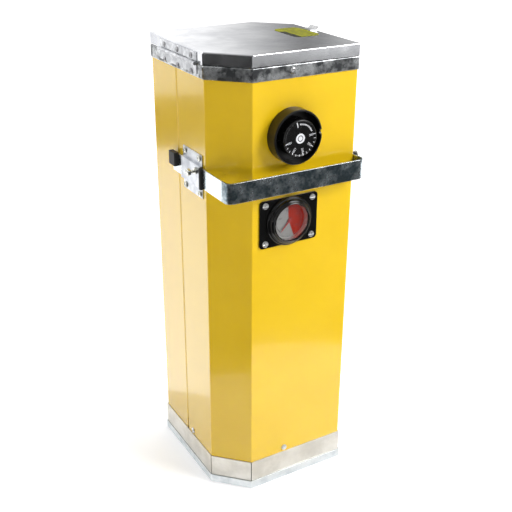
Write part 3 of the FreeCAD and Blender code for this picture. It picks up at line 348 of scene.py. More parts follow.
plated = {
    "platedBright": {"light": (0.80, 0.80, 0.80), "dark": (0.50, 0.51, 0.52), "rough": 0.26},
    "platedBolt": {"light": (0.80, 0.80, 0.74), "dark": (0.38, 0.39, 0.34), "rough": 0.22},
    "rivetSteel": {"light": (0.42, 0.42, 0.43), "dark": (0.16, 0.16, 0.17), "rough": 0.30},
    "tubeSteel": {"light": (0.62, 0.60, 0.57), "dark": (0.36, 0.33, 0.30), "rough": 0.36},
    "heaterSheath": {"light": (0.30, 0.25, 0.22), "dark": (0.10, 0.09, 0.10), "rough": 0.45},
    "drawnCopper": {"light": (0.88, 0.52, 0.34), "dark": (0.50, 0.24, 0.15), "rough": 0.28},
    "brassPins": {"light": (0.90, 0.74, 0.38), "dark": (0.60, 0.44, 0.18), "rough": 0.20},
    "polishedRing": {"light": (0.90, 0.88, 0.87), "dark": (0.70, 0.68, 0.67), "rough": 0.30},
}


def platedMetal(name):
    # small metal pieces: turning marks, dull patches where the plating is thin
    look = plated[name]
    paint = Paint(name)
    patch = paint.noise(3.5 * mm, 4.0, 0.6).rise(0.32, 0.68)
    fine = paint.noise(0.25 * mm, 2.0, 0.5, (1.0, 1.0, 1.0), 4.0)
    colour = paint.tint(patch * 0.8 + fine * 0.3, look["dark"], look["light"])
    rough = look["rough"] + (1.0 - patch) * 0.12 + (fine - 0.5) * 0.08
    relief = paint.bump(fine, 0.004 * mm, paint.bump(patch, 0.01 * mm))
    return paint.finish(Base_Color=colour, Roughness=rough, Metallic=1.0, Normal=relief)


blacks = {
    "guardBlack": {"deep": (0.004, 0.004, 0.004), "pale": (0.020, 0.020, 0.020), "rough": 0.30,
                   "grain": 0.5 * mm, "relief": 0.010 * mm, "edge": 1.0 * mm, "dust": 0.25},
    "plateBlack": {"deep": (0.003, 0.003, 0.003), "pale": (0.012, 0.012, 0.012), "rough": 0.18,
                   "grain": 0.8 * mm, "relief": 0.006 * mm, "edge": 0.8 * mm, "dust": 0.20},
    "bezelBlack": {"deep": (0.003, 0.003, 0.003), "pale": (0.010, 0.010, 0.010), "rough": 0.09,
                   "grain": 0.8 * mm, "relief": 0.004 * mm, "edge": 0.5 * mm, "dust": 0.15},
    "rubberBlack": {"deep": (0.008, 0.008, 0.008), "pale": (0.030, 0.030, 0.030), "rough": 0.60,
                    "grain": 0.4 * mm, "relief": 0.025 * mm, "edge": 0.9 * mm, "dust": 0.5},
    "inletBlack": {"deep": (0.018, 0.018, 0.019), "pale": (0.045, 0.045, 0.046), "rough": 0.45,
                   "grain": 0.3 * mm, "relief": 0.015 * mm, "edge": 0.8 * mm, "dust": 0.3},
}


def blackPiece(name, corners):
    # moulded or enamelled black: fine grain, a little dust, paler rubbed edges
    look = blacks[name]
    paint = Paint(name)
    grain = paint.noise(look["grain"], 2.0)
    dust = paint.noise(7 * mm, 5.0, 0.65).rise(0.50, 0.78)
    edge = paint.nearEdge(corners, look["edge"])
    rub = (edge * (0.4 + paint.noise(2.5 * mm, 2.0) * 0.8)).rise(0.45, 1.0)
    share = (dust * look["dust"] + rub * 0.6 + (grain - 0.5) * 0.3)
    colour = paint.tint(share, look["deep"], look["pale"])
    rough = look["rough"] + dust * look["dust"] * 0.35 + (grain - 0.5) * 0.06
    relief = paint.bump(grain, look["relief"])
    return paint.finish(Base_Color=colour, Roughness=rough, Normal=relief)


def makePiece(name, points, faces, material, body, slotName, *stands):
    # a mesh piece from whole arrays, its faces turned outwards, riding on a body
    mesh = bpy.data.meshes.new(name)
    mesh.from_pydata(points.tolist(), [], faces)
    shape = bmesh.new()
    shape.from_mesh(mesh)
    bmesh.ops.remove_doubles(shape, verts=shape.verts, dist=1e-7)
    bmesh.ops.recalc_face_normals(shape, faces=shape.faces)
    shape.to_mesh(mesh)
    shape.free()
    mesh.shade_smooth()
    mesh.set_sharp_from_angle(angle=math.radians(40.0))
    mesh.materials.append(material)
    piece = bpy.data.objects.new(name, mesh)
    bpy.context.scene.collection.objects.link(piece)
    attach(piece, body)
    if stands:
        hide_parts(*stands)
    return piece


def closedGrid(grid, looped=False):
    # rows of rings: each ring closes on itself; the rows close too, or end in a pole each
    rows, columns = grid.shape[:2]
    last = rows if looped else rows - 1
    r, c = np.meshgrid(np.arange(last), np.arange(columns), indexing="ij")
    r2, c2 = (r + 1) % rows, (c + 1) % columns
    quads = np.stack([r * columns + c, r * columns + c2, r2 * columns + c2, r2 * columns + c], -1)
    faces = quads.reshape(-1, 4).tolist()
    points = grid.reshape(-1, 3)
    if not looped:
        ends = np.stack([grid[0].mean(0), grid[-1].mean(0)])
        points = np.concatenate([points, ends])
        ring = np.arange(columns)
        step = (ring + 1) % columns
        first, top = rows * columns, (rows - 1) * columns
        faces += np.stack([ring, step, np.full(columns, first)], -1).tolist()
        faces += np.stack([top + ring, top + step, np.full(columns, first + 1)], -1).tolist()
    return points, faces


def softened(corners, radius, steps=5):
    # each inner corner of a profile becomes a quadratic curve that starts and ends radius away
    corners = np.array(corners, float)
    before, here, after = corners[:-2], corners[1:-1], corners[2:]
    back, ahead = before - here, after - here
    backLength = np.linalg.norm(back, axis=1, keepdims=True)
    aheadLength = np.linalg.norm(ahead, axis=1, keepdims=True)
    start = here + back / backLength * np.minimum(radius, backLength * 0.48)
    end = here + ahead / aheadLength * np.minimum(radius, aheadLength * 0.48)
    t = np.linspace(0.0, 1.0, steps)[None, :, None]
    curve = ((1 - t) ** 2 * start[:, None] + 2 * t * (1 - t) * here[:, None]
             + t ** 2 * end[:, None])
    return np.concatenate([corners[:1], curve.reshape(-1, 2), corners[-1:]])


def turnedForward(profile, count, centre, ripple=None):
    # a profile of (radius, height) turned about an axis that points forward, out of the front;
    # ripple(angle, radius, height) is added to the radius
    angle = np.linspace(0.0, 2 * math.pi, count, endpoint=False)[None, :]
    radius = np.repeat(profile[:, :1], count, axis=1)
    height = np.repeat(profile[:, 1:], count, axis=1)
    if ripple is not None:
        radius = radius + ripple(angle, radius, height)
    return np.stack([centre.x + radius * np.cos(angle), centre.y - height,
                     centre.z + radius * np.sin(angle)], -1)


def middleOf(node):
    low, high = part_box(node)
    return (low + high) / 2


shot = {
    "azimuth": -30.12,
    "elevation": 25.03,
    "distance": 1.0428,
    "lookAt": (0.0120, 0.0095, 0.2699),
    "lens": 59.1,
    "roll": 0.31,
}


def placeCamera():
    azimuth, elevation = math.radians(shot["azimuth"]), math.radians(shot["elevation"])
    away = Vector((math.sin(azimuth) * math.cos(elevation),
                   -math.cos(azimuth) * math.cos(elevation), math.sin(elevation)))
    lens = bpy.data.cameras.new("studioCamera")
    lens.lens = shot["lens"]
    lens.sensor_width = 36.0
    lens.clip_start = 0.05
    lens.clip_end = 40.0
    viewer = bpy.data.objects.new("studioCamera", lens)
    viewer.location = Vector(shot["lookAt"]) + away * shot["distance"]
    turn = (-away).to_track_quat("-Z", "Y").to_euler("XYZ")
    viewer.rotation_euler = turn
    viewer.rotation_euler.rotate_axis("Z", math.radians(shot["roll"]))
    bpy.context.scene.collection.objects.link(viewer)
    bpy.context.scene.camera = viewer


studio = {
    "lamps": {      # place, aim, size across and up, watts
        "keySoftbox": ((1.20, -1.35, 1.50), (0.0, 0.0, 0.45), 1.0, 1.0, 38.0),
        "topSoftbox": ((0.40, 0.6, 2.3), (0.1, 0.1, 0.0), 2.4, 2.4, 52.0),
        "leftSoftbox": ((-0.75, 0.35, 1.05), (-0.08, 0.0, 0.50), 0.35, 0.35, 2.0),
    },
    "airStrength": 0.10,
    "floorSize": 16.0,
    "floorColour": (0.86, 0.86, 0.87),
    "floorGlow": 0.34,
    "shadeColour": (0.018, 0.018, 0.018),
    "domeRadius": 7.0,
    "overhead": 0.62,
    "floorFade": (0.9, 2.4),      # the floor's own glow comes up between these distances
    "overheadFade": (0.4, 0.85),  # heights on the dome, as shares of its radius
    "patchHeight": 2 * mm,
    # parts of the floor that shiny pieces mirror as dark: distances, directions in degrees
    "darkPatches": {
        "frontShade": (0.40, 2.7, -128, -20),
        "leftShade": (0.34, 4.4, -172, -128),
        "backShade": (1.38, 1.95, 98, 146),
    },
    "brightPatch": (0.20, 1.36, 112, 176),
    "brightGlow": 2.0,
    # brightness of what shiny pieces mirror, by direction: position 0 is -X, then front, +X, back
    "mirrored": ((0.00, 1.15), (0.07, 0.20), (0.18, 0.06), (0.36, 0.25), (0.50, 0.45),
                 (0.634, 0.95), (0.656, 0.22), (0.682, 1.42), (0.80, 1.35), (1.00, 1.15)),
}


def flatPaint(name, colour, rough, glow=0.0, farGlow=None):
    paint = Paint(name)
    cloud = paint.noise(0.9, 2.0)
    shade = tuple(part * 0.985 for part in colour)
    sockets = {"Base_Color": paint.tint(cloud, shade, colour), "Roughness": rough}
    if farGlow is not None:
        away = (paint.x * paint.x + paint.y * paint.y) ** 0.5
        fade = away.rise(*studio["floorFade"])
        sockets["Emission_Color"] = paint.tint(fade, (glow,) * 3, (farGlow,) * 3)
        sockets["Emission_Strength"] = 1.0
    return paint.finish(**sockets)


def glowPaint(name, *stops, overhead=None):
    # emission by direction round the vertical axis
    paint = Paint(name)
    turn = paint.y.maths("ARCTAN2", paint.y, paint.x) / (2 * math.pi) + 0.5
    shade = paint.ramp(turn, *[(spot, (value,) * 3) for spot, value in stops])
    if overhead is not None:
        height = (paint.z / studio["domeRadius"]).rise(*studio["overheadFade"])
        shade = paint.tint(height, shade, (overhead,) * 3)
    return paint.finish(Base_Color=(0.0, 0.0, 0.0), Specular_IOR_Level=0.0, Roughness=1.0,
                        Emission_Color=shade, Emission_Strength=1.0)


def stageSheet(name, grid, material, camera=False, mirrors=True):
    # a backdrop piece: it never lights the object; it is seen by the camera or in reflections
    rows, columns = grid.shape[:2]
    index = np.arange(rows * columns).reshape(rows, columns)
    faces = np.stack([index[:-1, :-1], index[1:, :-1], index[1:, 1:], index[:-1, 1:]], -1)
    mesh = bpy.data.meshes.new(name)
    mesh.from_pydata(grid.reshape(-1, 3).tolist(), [], faces.reshape(-1, 4).tolist())
    mesh.materials.append(material)
    sheet = bpy.data.objects.new(name, mesh)
    bpy.context.scene.collection.objects.link(sheet)
    sheet.visible_camera = camera
    sheet.visible_glossy = mirrors
    sheet.visible_diffuse = False
    sheet.visible_transmission = camera
    sheet.visible_shadow = False
    return sheet


def ringGrid(nearEdge, farEdge, start, stop):
    # part of a flat ring on the floor, between two radii and two directions in degrees
    turn = np.radians(np.linspace(start, stop, 48))[:, None]
    away = np.linspace(nearEdge, farEdge, 6)[None, :]
    return np.stack([away * np.cos(turn), away * np.sin(turn),
                     studio["patchHeight"] + 0 * away * turn], -1)


def domeGrid(radius):
    # half a sphere above the floor
    turn = np.linspace(-math.pi, math.pi, 97)[:, None]
    rise = np.linspace(-0.02, math.pi / 2 - 0.02, 32)[None, :]
    return radius * np.stack([np.cos(turn) * np.cos(rise), np.sin(turn) * np.cos(rise),
                              np.sin(rise) + 0 * turn], -1)


def makeStudio():
    scene = bpy.context.scene
    scene.view_settings.view_transform = "Standard"
    for name, (place, aim, across, up, watts) in studio["lamps"].items():
        lamp = bpy.data.lights.new(name, "AREA")
        lamp.shape = "RECTANGLE"
        lamp.size = across
        lamp.size_y = up
        lamp.energy = watts
        holder = bpy.data.objects.new(name, lamp)
        holder.location = place
        holder.rotation_euler = (Vector(aim) - Vector(place)).to_track_quat("-Z", "Y").to_euler()
        holder.visible_camera = False
        holder.visible_glossy = name != "topSoftbox"    # else the lid mirrors it from above
        scene.collection.objects.link(holder)
    air = bpy.data.worlds.new("studioAir")
    air.use_nodes = True
    glow = air.node_tree.nodes["Background"]
    glow.inputs["Color"].default_value = (1.0, 1.0, 1.0, 1.0)
    glow.inputs["Strength"].default_value = studio["airStrength"]
    scene.world = air
    reach = studio["floorSize"] / 2
    side = np.linspace(-reach, reach, 13)
    across, along = np.meshgrid(side, side, indexing="ij")
    paper = flatPaint("floorPaper", studio["floorColour"], 0.9, studio["floorGlow"], 1.0)
    floor = stageSheet("studioFloor", np.stack([across, along, 0 * across], -1), paper,
                       camera=True)
    floor.visible_diffuse = True
    floor.visible_shadow = True
    radius = studio["domeRadius"]
    stageSheet("whiteDome", domeGrid(radius + 1.0), glowPaint("domeWhite", (0.0, 1.0), (1.0, 1.0)),
               camera=True, mirrors=False)
    stageSheet("mirroredDome", domeGrid(radius),
               glowPaint("domeMirrored", *studio["mirrored"], overhead=studio["overhead"]))
    shade = flatPaint("floorShade", studio["shadeColour"], 1.0)
    for name, patch in studio["darkPatches"].items():
        stageSheet(name, ringGrid(*patch), shade)
    bright = studio["brightGlow"]
    stageSheet("brightFloor", ringGrid(*studio["brightPatch"]),
               glowPaint("floorBright", (0.0, bright), (1.0, bright)))


placeCamera()
makeStudio()
print("camera and studio are in place")


print("dressing the sheet metal")
lapFront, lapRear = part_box("front_casing")[1].y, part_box("rear_casing")[0].y
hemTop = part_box("base_pan")[1].z
for name, node, lap in (("powderFront", "front_casing", (1.0, lapRear, -1.0)),
                        ("powderRear", "rear_casing", (-1.0, lapFront, 1.0))):
    dress(powderCoat(name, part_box(node), lap, hemTop), node)

lidMarks = {
    "dimple": (48 * mm, 28 * mm, 2.2 * mm, 0.5 * mm),       # x, y, radius, depth
    "emboss": (-41 * mm, 47 * mm, 15 * mm, 0.05 * mm),
}


def lidDents(paint, below):
    # a small pressed dimple and a faint round emboss
    for x, y, radius, depth in lidMarks.values():
        away = ((paint.x - x) * (paint.x - x) + (paint.y - y) * (paint.y - y)) ** 0.5
        below = paint.bump(away.rise(radius * 0.5, radius), depth, below)
    return below


dress(zincSheet("zincLid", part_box("lid_shell"), lidDents), "lid_shell")
dress(zincSheet("zincCollar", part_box("top_collar")), "top_collar")
dress(zincSheet("zincPan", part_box("base_pan")), "base_pan", "base_frame", "lid_liner")
dress(zincSheet("zincTray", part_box("base_tray")), "base_tray")
dress(zincSheet("zincStrap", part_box("handle_strap")), "handle_strap")
for side in ("left", "right"):
    bracket = "guide_bracket_" + side
    dress(zincSheet("zincBracket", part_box(bracket), side=side.capitalize()), bracket)
dress(zincSheet("zincHinge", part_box("hinge_body_leaf")), "hinge_body_leaf", "hinge_lid_leaf")

brightSteel = platedMetal("platedBright")
boltSteel = platedMetal("platedBolt")
rivetSteel = platedMetal("rivetSteel")
tubeSteel = platedMetal("tubeSteel")
copper = platedMetal("drawnCopper")
dress(brightSteel, "base_screws", "collar_screws", "gauge_screws", "thermostat_screws",
      "inlet_screws", "latch_keeper", "latch_bail", "latch_bracket", "hinge_pin",
      "thermostat_spindle")
dress(boltSteel, "clamp_nuts", "bracket_screws")
dress(rivetSteel, "hinge_body_rivets", "hinge_lid_rivets", "latch_rivets")
dress(tubeSteel, "chamber_tube", "chamber_floor", "element_clips", "gauge_stem")
dress(platedMetal("heaterSheath"), "heating_element")
dress(copper, "sensing_bulb", "capillary_tube")
dress(platedMetal("brassPins"), "inlet_pins")
dress(platedMetal("polishedRing"), "gauge_ring")
dress(blackPiece("guardBlack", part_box("thermostat_guard")), "thermostat_guard")
dress(blackPiece("plateBlack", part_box("gauge_plate")), "gauge_plate", "gauge_case")
dress(blackPiece("rubberBlack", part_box("front_stops")), "front_stops", "rear_stops")
dress(blackPiece("inletBlack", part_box("power_inlet")), "power_inlet", "thermostat_body")


label = {
    "film": (0.27, 0.27, 0.008),
    "filmDeep": (0.19, 0.19, 0.005),
    "ink": (0.02, 0.02, 0.015),
    "stripWidth": 6.0 * mm,
    "stripEnd": 0.68,           # share of the label's length
    "lineGap": 3.4 * mm,
    "lineWidth": 1.3 * mm,
    "lineStart": 9.0 * mm,      # from the left edge
    "lineMargin": 4.0 * mm,     # from the right edge
    "wordSize": 1.6 * mm,
}


def labelFilm():
    # printed film: a black strip along its left edge, and broken ruled lines in place of words
    low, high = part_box("lid_label")
    paint = Paint("labelFilm")
    cloud = paint.noise(12 * mm, 3.0)
    colour = paint.tint(cloud, label["filmDeep"], label["film"])
    stripTop = low.y + (high.y - low.y) * label["stripEnd"]
    strip = (paint.x.under(low.x + label["stripWidth"]) * paint.y.under(stripTop))
    lines = (paint.y.wrapped(label["lineGap"]).size().under(label["lineWidth"] / 2)
             * paint.x.over(low.x + label["lineStart"])
             * paint.x.under(high.x - label["lineMargin"]))
    broken = paint.noise(label["wordSize"], 1.0, 0.5, (1.0, 4.0, 1.0), 5.0).over(0.47)
    ink = (strip + lines * broken * 0.85).least(1.0)
    worn = paint.noise(1.2 * mm, 3.0).rise(0.30, 0.42)
    colour = paint.tint(ink * worn, colour, label["ink"])
    rough = 0.6 + cloud * 0.12
    return paint.finish(Base_Color=colour, Roughness=rough, Specular_IOR_Level=0.15,
                        Normal=paint.bump(paint.noise(1.5 * mm, 2.0), 0.01 * mm))


dress(labelFilm(), "lid_label")


knob = {
    "black": (0.004, 0.004, 0.004),
    "dusty": (0.016, 0.016, 0.016),
    "ink": (0.80, 0.81, 0.84),
    "rim": 0.5 * mm,            # raised rim round the face
    "rimSteps": (2.6 * mm, 1.9 * mm, 0.9 * mm),     # its foot, inner and outer edge, from the side
    "shoulder": 1.4 * mm,
    "soft": 0.8 * mm,           # reach of the rounded corners
    "pole": 0.3 * mm,           # smallest radius of the profile
    "flutes": 54,
    "fluteDepth": 0.35 * mm,
    "fluteEdge": 1.2 * mm,      # they start this far in from the side
    "fluteTop": 1.6 * mm,       # and end this far below the rim
    "fluteFade": 1.5 * mm,
    "hollow": 6.0 * mm,         # depth of the open back
    "wall": 2.4 * mm,
    "numbers": ("100", "150", "200", "250", "300"),
    "firstNumber": 193.5,       # degrees, counter-clockwise seen from the front
    "numberStep": 44.0,
    "numberRadius": 13.3 * mm,
    "numberSize": 3.5 * mm,
    "tickRadius": (16.9 * mm, 18.9 * mm),
    "tickWidth": 0.55 * mm,
    "longTick": 0.9 * mm,       # how much further in the numbered ticks reach
    "inkDepth": 1.2 * mm,       # print lies no deeper than this below the rim
    "offAngle": 105.0,
    "offRadius": (12.3 * mm, 18.4 * mm),
    "offWidth": 1.1 * mm,
    "discRadius": 5.4 * mm,
    "discRing": (2.5 * mm, 3.3 * mm),
    "graduation": (26.0, 92.0),  # where the fine graduation between 300 and off runs
    "graduationRadius": (14.4 * mm, 16.0 * mm),
    "graduationWidth": 0.8 * mm,
    "numberLift": 0.02 * mm,    # the numbers' middle stands this far in front of the face
    "inkDeep": (0.55, 0.56, 0.60),
}


def strokes(away, angle, first, step, count, radii, width):
    # radial strokes: points whose distance across the nearest stroke's line is under half a width
    last = first + step * (count - 1)
    swing = (angle - (first + last) / 2).wrapped(360.0)
    nearest = (swing + (last - first) / 2 if count % 2 else swing).wrapped(step)
    inside = swing.size().under((last - first) / 2 + step * 0.4)
    across = (nearest * (math.pi / 180.0) * away).size()
    return across.under(width / 2) * away.over(radii[0]) * away.under(radii[1]) * inside


def knobPrint():
    # white print on the knob's face: scale strokes, the off stroke, a plain disc with a ring
    centre = middleOf("thermostat_knob")
    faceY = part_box("thermostat_knob")[0].y
    paint = Paint("knobBlack")
    away, angle = paint.polar(centre)
    step = knob["numberStep"] / 3
    ticks = strokes(away, angle, knob["firstNumber"], step, 13, knob["tickRadius"],
                    knob["tickWidth"])
    long = strokes(away, angle, knob["firstNumber"], step * 3, 5,
                   (knob["tickRadius"][0] - knob["longTick"], knob["tickRadius"][1]),
                   knob["tickWidth"] * 1.5)
    off = strokes(away, angle, knob["offAngle"], 360.0, 1, knob["offRadius"], knob["offWidth"])
    start, stop = knob["graduation"]
    fine = strokes(away, angle, start, (stop - start) / 12, 13, knob["graduationRadius"],
                   knob["graduationWidth"])
    ring = away.over(knob["discRing"][0]) * away.under(knob["discRing"][1])
    disc = away.under(knob["discRadius"]) * (1.0 - ring)
    ink = (ticks + long + off + fine + disc).least(1.0) * paint.y.under(faceY + knob["inkDepth"])
    fade = paint.noise(0.6 * mm, 3.0).rise(0.18, 0.34)
    grain = paint.noise(0.5 * mm, 2.0)
    dust = paint.noise(6 * mm, 5.0, 0.65).rise(0.50, 0.80)
    base = paint.tint(dust * 0.35 + (grain - 0.5) * 0.2, knob["black"], knob["dusty"])
    colour = paint.tint(ink * fade * 0.95, base, knob["ink"])
    rough = 0.22 + dust * 0.15 + ink * 0.2 + (grain - 0.5) * 0.05
    return paint.finish(Base_Color=colour, Roughness=rough,
                        Normal=paint.bump(grain, 0.004 * mm))


def makeKnob():
    # profile from the middle of the face over a raised rim and the fluted side to the open back;
    # the flutes are a cosine round the side that fades out towards the rim
    low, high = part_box("thermostat_knob")
    centre = middleOf("thermostat_knob")
    centre.y = high.y
    radius, depth = (high.x - low.x) / 2, high.y - low.y
    rim, wall = knob["rim"], knob["wall"]
    foot, inner, outer = knob["rimSteps"]
    corners = [(knob["pole"], depth - rim), (radius - foot, depth - rim),
               (radius - inner, depth), (radius - outer, depth),
               (radius, depth - knob["shoulder"]), (radius, 0.0), (radius - wall, 0.0),
               (radius - wall, knob["hollow"]), (knob["pole"], knob["hollow"])]
    profile = softened(corners, knob["soft"])

    def flutes(angle, r, h):
        side = np.clip((r - radius) / knob["fluteEdge"] + 1.0, 0.0, 1.0)
        fade = np.clip((depth - knob["fluteTop"] - h) / knob["fluteFade"], 0.0, 1.0)
        return -knob["fluteDepth"] * side * fade * (0.5 + 0.5 * np.cos(knob["flutes"] * angle))

    points, faces = closedGrid(turnedForward(profile, knob["flutes"] * 6, centre, flutes))
    return makePiece("knobBody", points, faces, knobPrint(), "knob", "black_knob",
                     "thermostat_knob")


letterHalf = 0.05 * mm      # half the letters' thickness


def textPoints(words, size):
    # a word's letters as a closed, slightly raised mesh, centred on the origin
    curve = bpy.data.curves.new("numberCurve", "FONT")
    curve.body = words
    curve.size = size
    curve.extrude = letterHalf
    curve.resolution_u = 3
    curve.align_x = "CENTER"
    curve.align_y = "CENTER"
    holder = bpy.data.objects.new("numberCurve", curve)
    bpy.context.scene.collection.objects.link(holder)
    bpy.context.view_layer.update()
    mesh = bpy.data.meshes.new_from_object(holder.evaluated_get(
        bpy.context.evaluated_depsgraph_get()))
    points = np.zeros(len(mesh.vertices) * 3)
    mesh.vertices.foreach_get("co", points)
    faces = [list(face.vertices) for face in mesh.polygons]
    bpy.data.objects.remove(holder)
    return points.reshape(-1, 3), faces


def makeNumbers(name, words, centre, faceY, radial, body, slotName, material, size):
    # each word stands at (radius, angle), turned by its own angle, on a face that looks forward
    allPoints, allFaces, count = [], [], 0
    for word, (radius, angle, turn) in zip(words, radial):
        points, faces = textPoints(word, size)
        c, s = math.cos(math.radians(turn)), math.sin(math.radians(turn))
        across = points[:, 0] * c - points[:, 1] * s + radius * math.cos(math.radians(angle))
        up = points[:, 0] * s + points[:, 1] * c + radius * math.sin(math.radians(angle))
        allPoints.append(np.stack([centre.x + across, faceY - points[:, 2], centre.z + up], -1))
        allFaces += [[i + count for i in face] for face in faces]
        count += len(points)
    return makePiece(name, np.concatenate(allPoints), allFaces, material, body, slotName)


def inkPaint(name, light, deep):
    paint = Paint(name)
    patch = paint.noise(0.7 * mm, 3.0)
    return paint.finish(Base_Color=paint.tint(patch, deep, light), Roughness=0.35 + patch * 0.2,
                        Normal=paint.bump(patch, 0.003 * mm))


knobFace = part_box("thermostat_knob")[0].y + knob["rim"]
makeKnob()
knobAngles = [knob["firstNumber"] + knob["numberStep"] * i for i in range(5)]
makeNumbers("knobNumbers", knob["numbers"], middleOf("thermostat_knob"),
            knobFace - knob["numberLift"],
            [(knob["numberRadius"], angle, angle) for angle in knobAngles], "knob", "black_knob",
            inkPaint("knobInk", knob["ink"], knob["inkDeep"]), knob["numberSize"])
print("thermostat knob is made")


dial = {
    "silver": (0.27, 0.26, 0.25),
    "silverDeep": (0.19, 0.185, 0.18),
    "red": (0.38, 0.018, 0.006),
    "redDeep": (0.20, 0.010, 0.004),
    "ink": (0.03, 0.03, 0.035),
    "redFrom": -70.0,
    "redTo": 94.0,
    "scale": (228.0, -36.0),        # where the printed scale begins and ends, degrees
    "scaleSteps": 26,
    "arcRadius": 15.9 * mm,
    "arcWidth": 0.55 * mm,
    "markLength": 1.3 * mm,
    "markWidth": 0.40 * mm,
    "needle": (0.34, 0.012, 0.008),
    "needleDeep": (0.24, 0.008, 0.006),
    "numberInk": (0.05, 0.05, 0.055),
    "numberLift": 0.03 * mm,
    "numbers": ("0", "100", "200", "300", "400"),
    "numberRadius": 12.2 * mm,
    "numberSize": 3.0 * mm,
}


def dialPaint():
    # silver dial, red sector, a printed arc with fine strokes
    centre = middleOf("gauge_dial")
    paint = Paint("dialSilver")
    away, angle = paint.polar(centre)
    cloud = paint.noise(8 * mm, 3.0)
    grain = paint.noise(0.25 * mm, 2.0)
    silver = paint.tint(cloud * 0.7 + grain * 0.4, dial["silverDeep"], dial["silver"])
    red = paint.tint(cloud * 0.7 + grain * 0.3, dial["redDeep"], dial["red"])
    half = (dial["redTo"] - dial["redFrom"]) / 2
    swing = (angle - (dial["redFrom"] + half)).wrapped(360.0)
    colour = paint.tint(swing.size().under(half), silver, red)
    first, last = dial["scale"]
    sweep = first - last
    reach = (angle - (first + last) / 2).wrapped(360.0)
    onScale = reach.size().under(sweep / 2)
    arc = (away - dial["arcRadius"]).size().under(dial["arcWidth"] / 2) * onScale
    step = sweep / dial["scaleSteps"]
    fine = strokes(away, angle, last, step, dial["scaleSteps"] + 1,
                   (dial["arcRadius"], dial["arcRadius"] + dial["markLength"]),
                   dial["markWidth"])
    ink = (arc + fine).least(1.0)
    colour = paint.tint(ink * 0.85, colour, dial["ink"])
    return paint.finish(Base_Color=colour, Roughness=0.50 + cloud * 0.12, Specular_IOR_Level=0.2,
                        Normal=paint.bump(grain, 0.003 * mm))


def glassPaint():
    # clear glass: thin smears change its gloss
    paint = Paint("gaugeGlass")
    smear = paint.noise(6 * mm, 4.0, 0.6).rise(0.45, 0.75)
    return paint.finish(Base_Color=(0.97, 0.98, 0.98), Roughness=smear * 0.05,
                        Transmission_Weight=1.0, IOR=1.12,
                        Normal=paint.bump(smear, 0.004 * mm))


bezel = {
    "steps": ((0.0, 0.0), (0.0, 1.9), (0.9, 3.1), (2.7, 3.3), (3.0, 5.4), (4.2, 6.7),
              (5.3, 6.9), (5.6, 8.0), (6.4, 8.6), (6.9, 8.6), (7.7, 7.4), (7.7, 6.6)),
    "soft": 0.55 * mm,
    "wall": 4.0 * mm,           # thickness behind the lip
    "count": 160,               # points round the ring
}


def makeBezel():
    # stepped ring: its steps are a profile of inward and forward distances, softened, turned
    low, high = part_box("gauge_bezel")
    centre = middleOf("gauge_bezel")
    centre.y = high.y
    radius, depth = (high.x - low.x) / 2, high.y - low.y
    tall = max(step[1] for step in bezel["steps"]) * mm
    corners = [(radius - inward * mm, forward * mm * depth / tall)
               for inward, forward in bezel["steps"]]
    corners += [(radius - bezel["wall"], corners[-1][1]), (radius - bezel["wall"], 0.0)]
    ring = softened([corners[-1]] + corners + [corners[0]], bezel["soft"])[1:-1]
    points, faces = closedGrid(turnedForward(ring, bezel["count"], centre), looped=True)
    return makePiece("bezelRing", points, faces, blackPiece("bezelBlack", (low, high)), "housing",
                     "black_bezel", "gauge_bezel")


def makeDialNumbers():
    first, last = dial["scale"]
    count = len(dial["numbers"])
    angles = [first + (last - first) * i / (count - 1) for i in range(count)]
    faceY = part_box("gauge_dial")[0].y
    return makeNumbers("dialNumbers", dial["numbers"], middleOf("gauge_dial"),
                       faceY - dial["numberLift"],
                       [(dial["numberRadius"], angle, 0.0) for angle in angles], "housing",
                       "dial_face", inkPaint("dialInk", dial["numberInk"], dial["ink"]),
                       dial["numberSize"])


dress(dialPaint(), "gauge_dial")
dress(glassPaint(), "gauge_glass")
dress(inkPaint("needleRed", dial["needle"], dial["needleDeep"]), "gauge_needle")
makeBezel()
makeDialNumbers()
print("thermometer is made")


clamp = {
    "pitch": 0.7 * mm,
    "threadDepth": 0.30 * mm,
    "headHeight": 3.6 * mm,
    "plain": 1.0 * mm,          # plain neck under the head
    "flats": 7.6 * mm,
    "radius": 2.0 * mm,
    "point": 0.5 * mm,          # bevel at the tip
    "around": 36,               # points round the axis
    "perPitch": 8,              # rows to each pitch
    # heights of the head's rows, as shares of it
    "headRows": (0.0, 0.04, 0.12, 0.5, 0.80, 0.90, 0.97, 1.0),
}


